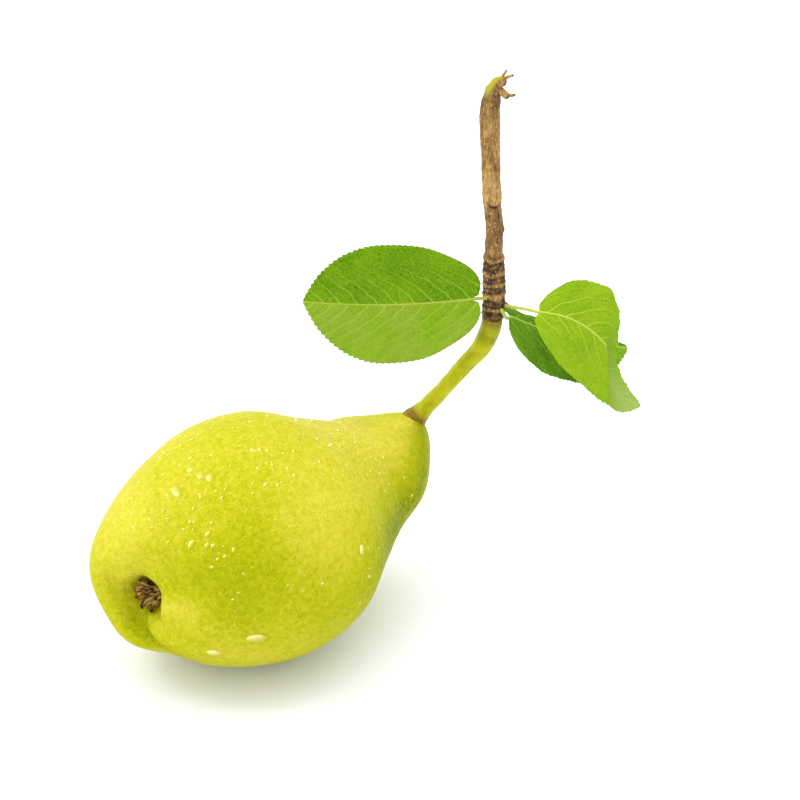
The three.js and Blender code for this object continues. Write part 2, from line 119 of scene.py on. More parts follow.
class SmoothCurve:
    """A curve through given points, found by the share of its length.

    Clamped curves space their bends evenly. Straight-ended ones give short spans tighter bends.
    """

    SAMPLES = 40

    def __init__(self, points: Sequence[Vector | Place], ends: Ends = Ends.STRAIGHT) -> None:
        """Measures the curve once.

        Args:
            points: What it passes through.
            ends: How it treats its two ends.
        """
        self.points = [Vector(point) for point in points]
        self.ends = ends
        count = self.SAMPLES * (len(points) - 1)
        self.track = [self._bent(i / count) for i in range(count + 1)]
        self.marks = [0.0]
        for before, after in zip(self.track, self.track[1:]):
            self.marks.append(self.marks[-1] + (after - before).length)
        self.length = self.marks[-1]

    def _bent(self, share: float) -> Vector:
        """Finds a point by its share of the spans.

        Args:
            share: From 0 to 1, where each span counts alike whatever its length.

        Returns:
            The point.
        """
        points, last = self.points, len(self.points) - 1
        span = min(int(share * last), last - 1)
        t = share * last - span
        p1, p2 = points[span], points[span + 1]
        clamped = self.ends is Ends.CLAMPED
        p0 = points[span - 1] if span else (p1 if clamped else 2 * p1 - p2)
        p3 = points[span + 2] if span + 2 <= last else (p2 if clamped else 2 * p2 - p1)
        if clamped:
            leave, reach = (p2 - p0) / 2, (p3 - p1) / 2
        else:
            d1 = (p2 - p1).length ** 0.5 or 1.0
            d0 = (p1 - p0).length ** 0.5 or d1
            d2 = (p3 - p2).length ** 0.5 or d1
            leave = ((p1 - p0) / d0 - (p2 - p0) / (d0 + d1) + (p2 - p1) / d1) * d1
            reach = ((p2 - p1) / d1 - (p3 - p1) / (d1 + d2) + (p3 - p2) / d2) * d1
        bend = 3 * (p2 - p1) - 2 * leave - reach
        return p1 + t * (leave + t * (bend + t * (leave + reach - 2 * (p2 - p1))))

    def at(self, share: float) -> Vector:
        """Finds a point by its share of the length.

        Args:
            share: From 0 to 1.

        Returns:
            The point.
        """
        goal = min(max(share, 0.0), 1.0) * self.length
        low, high = 0, len(self.marks) - 1
        while high - low > 1:
            middle = (low + high) // 2
            low, high = (middle, high) if self.marks[middle] <= goal else (low, middle)
        part = (goal - self.marks[low]) / max(self.marks[high] - self.marks[low], 1e-9)
        return self.track[low].lerp(self.track[high], part)

    def heading(self, share: float) -> Vector:
        """The direction of the curve.

        Args:
            share: Where, as a share of the length.

        Returns:
            The direction, of length 1.
        """
        step = 0.5 / len(self.marks)
        low, high = max(share - step, 0.0), min(share + step, 1.0)
        return (self.at(high) - self.at(low)).normalized()


# ---- Meshes -------------------------------------------------------------------------------------


def new_mesh(*marks: str) -> bmesh.types.BMesh:
    """Starts a mesh.

    Args:
        marks: What each vertex gets a number for.

    Returns:
        The empty mesh.
    """
    mesh = bmesh.new()
    for name in marks:
        mesh.verts.layers.float.new(name)
    return mesh


def grown_grid(
    mesh: bmesh.types.BMesh,
    columns: int,
    rows: int,
    place: Callable[[float, float], Spot],
) -> None:
    """Adds a grid and moves each vertex to its place.

    Args:
        mesh: What it is added to.
        columns: Faces across.
        rows: Faces along.
        place: Gets the shares across and along, and returns a point in mm with its marks, which
            the materials read as attributes.
    """
    made = bmesh.ops.create_grid(mesh, x_segments=columns, y_segments=rows, size=0.5)["verts"]
    for vert in made:
        point, marks = place(vert.co.x + 0.5, vert.co.y + 0.5)
        vert.co = in_frame(point)
        for name, value in marks.items():
            vert[mesh.verts.layers.float[name]] = value


def grown_tube(
    mesh: bmesh.types.BMesh,
    course: SmoothCurve,
    radius: Callable[[float, float], float],
    sides: int,
    rows: int,
    towards: Vector = Vector((1, 0, 0)),
    marks: Callable[[float, float], Marks] = lambda distance, angle: {},
) -> None:
    """Adds a closed tube along a curve.

    Args:
        mesh: What it is added to.
        course: The centre line.
        radius: The radius in mm at a distance along the curve in mm and an angle round it.
        sides: Faces round it.
        rows: Faces along it.
        towards: The direction in which the angle round it is 0.
        marks: The attributes at a distance and an angle.
    """

    def place(around: float, share: float) -> Spot:
        """Where a vertex of the tube goes, with its marks."""
        angle = 2 * math.pi * around
        # The first and last rows close the ends, so they share their neighbours' places
        inner = min(max((share * rows - 1) / (rows - 2), 0.0), 1.0)
        capped = share * rows < 0.5 or share * rows > rows - 0.5
        distance = inner * course.length
        heading = course.heading(inner)
        side = (towards - heading * towards.dot(heading)).normalized()
        reach = 0.0 if capped else radius(distance, angle)
        around_it = side * math.cos(angle) + heading.cross(side) * math.sin(angle)
        return course.at(inner) + around_it * reach, marks(distance, angle)

    grown_grid(mesh, sides, rows, place)


def finished(
    mesh: bmesh.types.BMesh,
    name: str,
    material: bpy.types.Material,
    slot: str,
    replaced: Sequence[str] = (),
    crease: float = 60.0,
) -> bpy.types.Object:
    """Turns a mesh into a piece of the object.

    Args:
        mesh: The piece, whose seams still lie open. It is used up.
        name: What the piece is called.
        material: Its finish.
        slot: The material slot that it belongs to; not used.
        replaced: The plain solids that it stands for.
        crease: Edges sharper than this many degrees stay sharp.

    Returns:
        The object, riding on the root body.
    """
    bmesh.ops.remove_doubles(mesh, verts=mesh.verts, dist=WELD)
    bmesh.ops.dissolve_degenerate(mesh, edges=mesh.edges, dist=WELD)
    bmesh.ops.recalc_face_normals(mesh, faces=mesh.faces)
    for face in mesh.faces:
        face.smooth = True
    data = bpy.data.meshes.new(name)
    mesh.to_mesh(data)
    mesh.free()
    data.set_sharp_from_angle(angle=math.radians(crease))
    data.materials.append(material)
    piece = bpy.data.objects.new(name, data)
    bpy.context.scene.collection.objects.link(piece)
    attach(piece, "root")
    if replaced:
        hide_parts(*replaced)
    log.info("%s: %d faces", name, len(data.polygons))
    return piece


# ---- Materials ----------------------------------------------------------------------------------


def linear(code: str) -> tuple[float, float, float, float]:
    """Turns an sRGB hex colour linear.

    Args:
        code: The colour, such as "c8c82a".

    Returns:
        Linear red, green, blue and alpha.
    """
    shares = [int(code[i : i + 2], 16) / 255 for i in (0, 2, 4)]
    lit = [s / 12.92 if s <= 0.04045 else ((s + 0.055) / 1.055) ** 2.4 for s in shares]
    return (*lit, 1.0)


def per_metre(size: float) -> float:
    """A texture's scale for features of that size in mm."""
    return 1 / (size * MM)


def fill_ramp(node: bpy.types.Node, *stops: tuple[float, str]) -> bpy.types.Node:
    """Gives a colour ramp its stops.

    Args:
        node: The colour ramp.
        stops: Positions from 0 to 1, with sRGB hex colours.

    Returns:
        The same node.
    """
    elements = node.color_ramp.elements
    while len(elements) < len(stops):
        elements.new(0.5)
    for element, (position, code) in zip(elements, stops):
        element.position = position
        element.color = linear(code)
    return node


@dataclass(frozen=True)
class Pattern:
    """Noise on a surface, by the size of its lumps in mm, its detail and its roughness."""

    size: float
    detail: float
    roughness: float = 0.5

    def on(self, place: Source) -> Inputs:
        """What goes into a noise texture that draws it there."""
        return {"Vector": place, "Scale": per_metre(self.size), "Detail": self.detail,
                "Roughness": self.roughness}


class Shading:
    """A material while its nodes are being added."""

    def __init__(self, name: str, *marks: str) -> None:
        """Starts the material with its shader.

        Args:
            name: What it is called.
            marks: The attributes of the piece that it reads.
        """
        self.material = bpy.data.materials.new(name)
        self.material.use_nodes = True
        self.tree = self.material.node_tree
        self.tree.nodes.clear()
        self.shader = self.add("BsdfPrincipled")
        self.add("OutputMaterial", {}, {"Surface": self.shader})
        self.marks = [
            self.add("Attribute", {"attribute_name": mark}).outputs["Fac"] for mark in marks]

    def add(
        self, kind: str, settings: Mapping[str, Any] | None = None, inputs: Inputs | None = None
    ) -> bpy.types.Node:
        """Adds a node.

        Args:
            kind: The node's type, without "ShaderNode".
            settings: Its own properties.
            inputs: What goes into it.

        Returns:
            The node.
        """
        node = self.tree.nodes.new("ShaderNode" + kind)
        for name, value in (settings or {}).items():
            setattr(node, name, value)
        self.fill(node, inputs or {})
        return node

    def fill(self, node: bpy.types.Node, inputs: Inputs) -> None:
        """Gives a node's inputs what goes into them.

        Args:
            node: The node.
            inputs: A value, an output socket, or a node for the first output that it has in use.
        """
        for name, source in inputs.items():
            if isinstance(source, bpy.types.Node):
                source = next(output for output in source.outputs if output.enabled)
            if isinstance(source, bpy.types.NodeSocket):
                self.tree.links.new(source, node.inputs[name])
            else:
                node.inputs[name].default_value = source

    def clouded(self, tone: Source, clouds: Sequence[tuple[Source, float]]) -> Source:
        """Adds patterns to a tone, each lighter and darker by half its strength.

        Args:
            tone: What they are added to.
            clouds: The patterns and their strengths.

        Returns:
            The tone with the patterns in it.
        """
        for pattern, strength in clouds:
            around_zero = self.add("Math", {"operation": "MULTIPLY_ADD"}, {
                0: pattern, 1: strength, 2: -strength / 2})
            tone = self.add("Math", {"operation": "ADD"}, {0: tone, 1: around_zero})
        return tone

    def dressed(self, inputs: Inputs) -> bpy.types.Material:
        """Fills the shader's own inputs, and returns the finished material."""
        self.fill(self.shader, inputs)
        return self.material


@dataclass(frozen=True)
class PearSkin:
    """Waxy pear skin: satin, with fine green mottling, yellower where the sun reached it, and with
    painted light, shade and sheen in its tone.
    """

    deep: str = "6c7604"
    green: str = "8f9608"
    middle: str = "a7a90f"
    yellow_and_sheen: str = "c2b936"
    pale: str = "cec443"
    pit: str = "5e530a"
    russet: str = "928512"
    lenticel: str = "7e8706"
    patches: Pattern = Pattern(14.0, 3.0, 0.55)
    mottle: Pattern = Pattern(1.5, 4.0, 0.62)
    grain: Pattern = Pattern(0.5, 3.0, 0.6)
    lenticel_spacing: float = 1.4
    basin_width: float = 24.0
    basin_wander: float = 5.0
    roughness: float = 0.42
    relief: float = 0.2
    ior: float = 1.16
    specular: float = 0.1

    def material(self) -> bpy.types.Material:
        """The skin, which reads its ripeness with painted light and shade in it, and how far a
        place is from the calyx.

        Returns:
            The material.
        """
        look = Shading("pear_skin", "ripe_and_lit", "from_calyx")
        ripe_and_lit, from_calyx = look.marks
        place = look.add("TexCoord").outputs["Object"]
        patches, mottle, grain = [
            look.add("TexNoise", {}, pattern.on(place))
            for pattern in (self.patches, self.mottle, self.grain)]
        tone = look.clouded(ripe_and_lit, ((patches, 0.3), (mottle, 0.85), (grain, 0.7)))
        # The yellow and pale ends are paler and bluer than the skin's own colour: painted sheen
        # where the skin is lit
        colours = fill_ramp(
            look.add("ValToRGB", {}, {"Fac": tone}), (0.0, self.deep), (0.22, self.green),
            (0.5, self.middle), (0.82, self.yellow_and_sheen), (1.0, self.pale))
        cells = look.add("TexVoronoi", {}, {
            "Vector": place, "Scale": per_metre(self.lenticel_spacing), "Randomness": 0.95})
        dot = look.add("MapRange", {}, {
            "Value": cells, "From Min": 0.08, "From Max": 0.2, "To Min": 0.35, "To Max": 0.0})
        dotted = look.add("Mix", {"data_type": "RGBA"}, {
            0: dot, 6: colours, 7: linear(self.lenticel)})

        # The basin is russet, and brown in its middle, with a ragged edge
        ragged = look.add("Math", {"operation": "MULTIPLY_ADD"}, {
            0: mottle, 1: self.basin_wander, 2: from_calyx})
        share = look.add("Math", {"operation": "DIVIDE"}, {0: ragged, 1: self.basin_width})
        out_of_pit = fill_ramp(
            look.add("ValToRGB", {}, {"Fac": share}), (0.16, "000000"), (0.32, "8c8c8c"),
            (0.55, "ffffff"))
        basin = fill_ramp(
            look.add("ValToRGB", {}, {"Fac": out_of_pit}), (0.0, self.pit), (1.0, self.russet))
        skin = look.add("Mix", {"data_type": "RGBA"}, {0: out_of_pit, 6: basin, 7: dotted})

        gloss = look.add("MapRange", {}, {
            "Value": grain, "To Min": self.roughness - 0.08, "To Max": self.roughness + 0.1})
        bumps = look.add("Math", {"operation": "MULTIPLY_ADD"}, {0: mottle, 1: 1.6, 2: grain})
        relief = look.add("Bump", {}, {
            "Height": bumps, "Strength": 0.45, "Distance": self.relief * MM})
        return look.dressed({
            "Base Color": skin, "Roughness": gloss, "Normal": relief, "IOR": self.ior,
            "Specular IOR Level": self.specular})


@dataclass(frozen=True)
class WaterFilm:
    """Drops of water, coloured like the skin beneath, with a painted highlight on the side towards
    the light and painted shade on the far side, besides their own glint.
    """

    shade: str = "a6a40d"
    body: str = "c4be38"
    painted_highlight: str = "ddd88c"
    tint: Pattern = Pattern(1.2, 1.0)
    roughness: float = 0.12
    ior: float = 1.333

    def material(self) -> bpy.types.Material:
        """The water, which reads how far towards the light a place on its drop is, for the painted
        highlight and shade.

        Returns:
            The material.
        """
        look = Shading("water", "lit")
        place = look.add("TexCoord").outputs["Object"]
        tint = look.add("TexNoise", {}, self.tint.on(place))
        gathered = look.add("Math", {"operation": "MULTIPLY_ADD"}, {
            0: tint, 1: 0.3, 2: look.marks[0]})
        colours = fill_ramp(
            look.add("ValToRGB", {}, {"Fac": gathered}), (0.35, self.shade), (0.75, self.body),
            (1.0, self.painted_highlight))
        return look.dressed({"Base Color": colours, "Roughness": self.roughness, "IOR": self.ior})


@dataclass(frozen=True)
class DryScale:
    """Withered sepals: dull brown, almost black at the tips, with painted light on their ridges and
    painted shade in their grooves.
    """

    dark: str = "2a1804"
    brown: str = "7c591a"
    tan: str = "b89c50"
    grain: Pattern = Pattern(0.7, 4.0, 0.7)
    relief: float = 0.15
    roughness: float = 0.75
    specular: float = 0.2

    def material(self) -> bpy.types.Material:
        """The dry calyx, lighter where its ridge mark is high, which is painted light on the crests
        and painted shade in the grooves.

        Returns:
            The material.
        """
        look = Shading("dry_calyx", "ridge")
        place = look.add("TexCoord").outputs["Object"]
        grain = look.add("TexNoise", {}, self.grain.on(place))
        tone = look.add("Math", {"operation": "MULTIPLY_ADD"}, {
            0: grain, 1: 0.6, 2: look.marks[0]})
        colours = fill_ramp(
            look.add("ValToRGB", {}, {"Fac": tone}), (0.3, self.dark), (0.62, self.brown),
            (1.0, self.tan))
        relief = look.add("Bump", {}, {
            "Height": grain, "Strength": 0.6, "Distance": self.relief * MM})
        return look.dressed({
            "Base Color": colours, "Normal": relief, "Roughness": self.roughness,
            "Specular IOR Level": self.specular})


@dataclass(frozen=True)
class GreenStalk:
    """The skin of the fruit stalk: smooth, yellow-green, browned and corky at both ends."""

    dark: str = "73700a"
    deep: str = "999b06"
    green: str = "b1b010"
    bright: str = "c2be2c"
    cork: str = "988022"
    dark_cork: str = "6c4e1a"
    patches: Pattern = Pattern(4.0, 4.0, 0.6)
    specks: Pattern = Pattern(0.8, 4.0, 0.7)
    relief: float = 0.15
    roughness: float = 0.42
    specular: float = 0.12

    def material(self) -> bpy.types.Material:
        """The stalk, which reads how corky and how shaded a place is.

        Returns:
            The material.
        """
        look = Shading("green_stalk_skin", "cork", "shade")
        corky, shade = look.marks
        place = look.add("TexCoord").outputs["Object"]
        patches, specks = [
            look.add("TexNoise", {}, pattern.on(place)) for pattern in (self.patches, self.specks)]
        tone = look.add("Math", {"operation": "SUBTRACT"}, {0: patches, 1: shade})
        colours = fill_ramp(
            look.add("ValToRGB", {}, {"Fac": tone}), (0.05, self.dark), (0.3, self.deep),
            (0.5, self.green), (0.72, self.bright))
        corks = fill_ramp(
            look.add("ValToRGB", {}, {"Fac": specks}), (0.35, self.dark_cork), (0.65, self.cork))
        ragged = look.add("Math", {"operation": "MULTIPLY_ADD"}, {0: specks, 1: 0.8, 2: corky})
        share = look.add("MapRange", {}, {"Value": ragged, "From Min": 0.7, "From Max": 1.15})
        skin = look.add("Mix", {"data_type": "RGBA"}, {0: share, 6: colours, 7: corks})
        relief = look.add("Bump", {}, {
            "Height": specks, "Strength": 0.3, "Distance": self.relief * MM})
        return look.dressed({
            "Base Color": skin, "Normal": relief, "Roughness": self.roughness,
            "Specular IOR Level": self.specular})


@dataclass(frozen=True)
class PearBark:
    """Young pear bark: grey-brown and finely fissured, paler above, dark between the ring scars."""

    crack: str = "281808"
    dark: str = "553b1c"
    brown: str = "8a6735"
    pale: str = "c09b5d"
    speck: str = "c4b278"
    sap_green: str = "a79f25"
    fibres: Pattern = Pattern(0.6, 6.0, 0.7)
    streaks: Pattern = Pattern(1.7, 4.0, 0.6)
    blotches: Pattern = Pattern(3.2, 3.0, 0.6)
    fibre_squeeze: float = 0.32
    streak_squeeze: float = 0.12
    lenticel_spacing: float = 0.75
    lenticel_share: float = 0.34
    relief: float = 0.3
    roughness: float = 0.72
    specular: float = 0.25

    def material(self) -> bpy.types.Material:
        """The bark, which reads three marks: paleness, how deep in a groove, and how green.

        Returns:
            The material.
        """
        look = Shading("pear_bark", "pale", "groove", "sap")
        pale, groove, sap = look.marks
        place = look.add("TexCoord").outputs["Object"]
        # Fissures run up the twig, so their patterns are squeezed along Z, which draws them out
        fibres, streaks, blotches = [
            look.add("TexNoise", {}, pattern.on(look.add("Mapping", {}, {
                "Vector": place, "Scale": (1.0, 1.0, squeeze)})))
            for pattern, squeeze in (
                (self.fibres, self.fibre_squeeze), (self.streaks, self.streak_squeeze),
                (self.blotches, 1.0))]
        tone = look.clouded(
            look.add("Math", {"operation": "SUBTRACT"}, {0: pale, 1: groove}),
            ((fibres, 1.0), (streaks, 0.75), (blotches, 0.4)))
        colours = fill_ramp(
            look.add("ValToRGB", {}, {"Fac": tone}), (0.1, self.crack), (0.34, self.dark),
            (0.58, self.brown), (0.86, self.pale))
        cells = look.add("TexVoronoi", {}, {
            "Vector": place, "Scale": per_metre(self.lenticel_spacing), "Randomness": 1.0})
        dot = look.add("MapRange", {}, {
            "Value": cells, "From Min": 0.14, "From Max": 0.34, "To Min": 0.7, "To Max": 0.0})
        # Few of the cells carry a lenticel
        lot = look.add("SeparateXYZ", {}, {"Vector": cells.outputs["Color"]})
        kept = look.add("Math", {"operation": "LESS_THAN"}, {0: lot, 1: self.lenticel_share})
        share = look.add("Math", {"operation": "MULTIPLY"}, {0: dot, 1: kept})
        dotted = look.add("Mix", {"data_type": "RGBA"}, {
            0: share, 6: colours, 7: linear(self.speck)})
        fresh = look.add("Mix", {"data_type": "RGBA"}, {
            0: sap, 6: dotted, 7: linear(self.sap_green)})
        relief = look.add("Bump", {}, {
            "Height": fibres, "Strength": 0.7, "Distance": self.relief * MM})
        return look.dressed({
            "Base Color": fresh, "Normal": relief, "Roughness": self.roughness,
            "Specular IOR Level": self.specular})


@dataclass(frozen=True)
class LeafBlade:
    """A pear leaf: waxy green with a pale midrib, side veins and a fine net between them.

    Sizes are in mm. The side veins' lean and curve say how far towards the tip they run for each
    mm out from the midrib, and for its square.
    """

    name: str
    deep: str
    green: str
    light: str
    vein: str
    rib: str
    vein_pitch: float = 4.4
    vein_lean: float = 0.75
    vein_curve: float = 0.07
    vein_wander: float = 2.6
    vein_reach: float = 13.0
    rib_reach: float = 44.0
    nets: Sequence[tuple[float, float, float]] = ((2.0, 0.05, 0.32), (0.8, 0.16, 0.28))
    tones: Pattern = Pattern(9.0, 4.0, 0.6)
    # How much lighter the left half is painted than the right, as painted light on the folded
    # blade; below 0 it is painted darker
    painted_light_left: float = 0.0
    # Painted sheen where the blade rolls back, and the same painted in shade nearer its base
    painted_sheen: str = "98ae60"
    painted_sheen_in_shade: str = "6c882a"
    relief: float = 0.2
    roughness: float = 0.36

    def material(self) -> bpy.types.Material:
        """The blade, which reads a place as mm along the midrib, mm out from it, and side.

        Returns:
            The material.
        """
        look = Shading(self.name, "from_base", "from_midrib", "left", "rolled")
        from_base, out, side, rolled = look.marks
        place = look.add("TexCoord").outputs["Object"]
        blade = look.add("CombineXYZ", {}, {"X": from_base, "Y": out, "Z": side})
        waver = look.add("TexNoise", {}, {"Vector": blade, "Scale": 0.22, "Detail": 2.0})
        shifted = look.add("VectorMath", {"operation": "MULTIPLY_ADD"}, {
            0: waver.outputs["Color"], 1: (self.vein_wander, self.vein_wander, 0.0), 2: blade})
        lines = self._side_veins(look, shifted)
        # Finer veins make a coarse net and a fine one, each by its cells, lines and strength
        for size, width, strength in self.nets:
            net = look.add("TexVoronoi", {"feature": "DISTANCE_TO_EDGE"}, {
                "Vector": shifted, "Scale": 1 / size})
            line = look.add("MapRange", {}, {
                "Value": net, "From Min": 0.0, "From Max": width, "To Min": strength,
                "To Max": 0.0})
            lines = look.add("Math", {"operation": "MAXIMUM"}, {0: lines, 1: line})
        # The midrib thins towards the tip
        rib_width = look.add("MapRange", {}, {
            "Value": from_base, "From Min": 0.0, "From Max": self.rib_reach, "To Min": 0.46,
            "To Max": 0.15})
        rib = look.add("MapRange", {"interpolation_type": "SMOOTHSTEP"}, {
            "Value": out, "From Min": 0.12, "From Max": rib_width, "To Min": 1.0, "To Max": 0.0})

        tones = look.add("TexNoise", {}, self.tones.on(place))
        # Painted light: one half of the blade is painted lighter than the other
        paler = look.add("Math", {"operation": "MULTIPLY_ADD"}, {
            0: side, 1: self.painted_light_left, 2: -self.painted_light_left / 2})
        tone = look.add("Math", {"operation": "MULTIPLY_ADD"}, {0: tones, 1: 0.6, 2: paler})
        colours = fill_ramp(
            look.add("ValToRGB", {}, {"Fac": tone}), (0.1, self.deep), (0.3, self.green),
            (0.5, self.light))
        # Painted sheen covers the part where the blade has rolled back, painted darker as shade
        # nearer the base and paler towards the tip
        towards_tip = look.add("MapRange", {}, {
            "Value": from_base, "From Min": 26.0, "From Max": 44.0})
        painted_sheen = look.add("Mix", {"data_type": "RGBA"}, {
            0: towards_tip, 6: linear(self.painted_sheen_in_shade), 7: linear(self.painted_sheen)})
        for share, upper in ((lines, linear(self.vein)), (rib, linear(self.rib)), (rolled, painted_sheen)):
            colours = look.add("Mix", {"data_type": "RGBA"}, {0: share, 6: colours, 7: upper})
        relief = look.add("Bump", {"invert": True}, {
            "Height": lines, "Strength": 0.35, "Distance": self.relief * MM})
        gloss = look.add("MapRange", {}, {
            "Value": tones, "To Min": self.roughness - 0.05, "To Max": self.roughness + 0.12})
        return look.dressed({
            "Base Color": colours, "Normal": relief, "Roughness": gloss,
            "Specular IOR Level": 0.0})

    def _side_veins(self, look: Shading, shifted: bpy.types.Node) -> bpy.types.Node:
        """The side veins, which leave the midrib at a slant and alternate left and right.

        Args:
            look: The material.
            shifted: The place on the blade, with the veins' wander in it.

        Returns:
            How strong a vein is at each place.
        """
        _, out, side, _ = look.marks
        wavy = look.add("SeparateXYZ", {}, {"Vector": shifted})
        bow = look.add("Math", {"operation": "MULTIPLY_ADD"}, {
            0: out, 1: -self.vein_curve, 2: -self.vein_lean})
        start = look.add("Math", {"operation": "MULTIPLY_ADD"}, {0: out, 1: bow, 2: wavy})
        half = look.add("Math", {"operation": "MULTIPLY"}, {0: side, 1: 0.5})
        phase = look.add("Math", {"operation": "MULTIPLY_ADD"}, {
            0: start, 1: 1 / self.vein_pitch, 2: half})
        off_main = look.add("Math", {"operation": "PINGPONG"}, {0: phase, 1: 0.5})
        # Lesser veins run halfway between the main ones, and fade out sooner
        off_lesser = look.add("Math", {"operation": "SUBTRACT"}, {0: 0.5, 1: off_main})
        kinds = []
        for off_vein, size, strength in ((off_main, 1.0, 0.8), (off_lesser, 0.5, 0.4)):
            width = look.add("MapRange", {}, {
                "Value": out, "From Min": 0.0, "From Max": self.vein_reach * size,
                "To Min": 0.07 * size + 0.01, "To Max": 0.012})
            kinds.append(look.add("MapRange", {"interpolation_type": "SMOOTHSTEP"}, {
                "Value": off_vein, "From Min": 0.0, "From Max": width, "To Min": strength,
                "To Max": 0.0}))
        return look.add("Math", {"operation": "MAXIMUM"}, {0: kinds[0], 1: kinds[1]})


# ---- The fruit ----------------------------------------------------------------------------------


@dataclass(frozen=True)
class Dip:
    """A dip in the calyx end, or a lip where its depth is below 0. Lengths in mm."""

    depth: float
    angle: float
    width: float
    reach: float
    spread: float


@dataclass(frozen=True)
class Furrow:
    """A furrow that runs out of the basin, and swings round as it nears it.

    Its angle and swing are in degrees, the rest in mm. It starts at a radius from the axis.
    """

    depth: float
    angle: float
    swing: float
    width: float
    start: float
    reach: float
    soft_start: float = 8.0
    swing_end: Pair = (4, 26)
    least_radius: float = 5.0

    def sunk(self, radius: float, distance: float, angle: float) -> float:
        """How deep it is at a place on the turned outline.

        Args:
            radius: The place's distance from the axis.
            distance: Its distance from the calyx end along the axis.
            angle: Its angle round the axis, in radians.

        Returns:
            The depth.
        """
        turned = self.angle + self.swing * (1 - eased(radius, *self.swing_end))
        across = turn_between(math.radians(turned), angle) * max(radius, self.least_radius)
        depth = self.depth * eased(radius, self.start, self.start + self.soft_start)
        return depth * swell(across, self.width) * (1 - eased(distance, 1, self.reach))


@dataclass(frozen=True)
class Patch:
    """A riper patch of skin, or a greener one where its ripeness is below 0. Some of them are
    painted light, and some painted shade.

    Its place and reach are shares of the way from calyx to stalk, its angle and spread degrees.
    """

    share: float
    angle: float
    reach: float
    spread: float
    ripeness: float


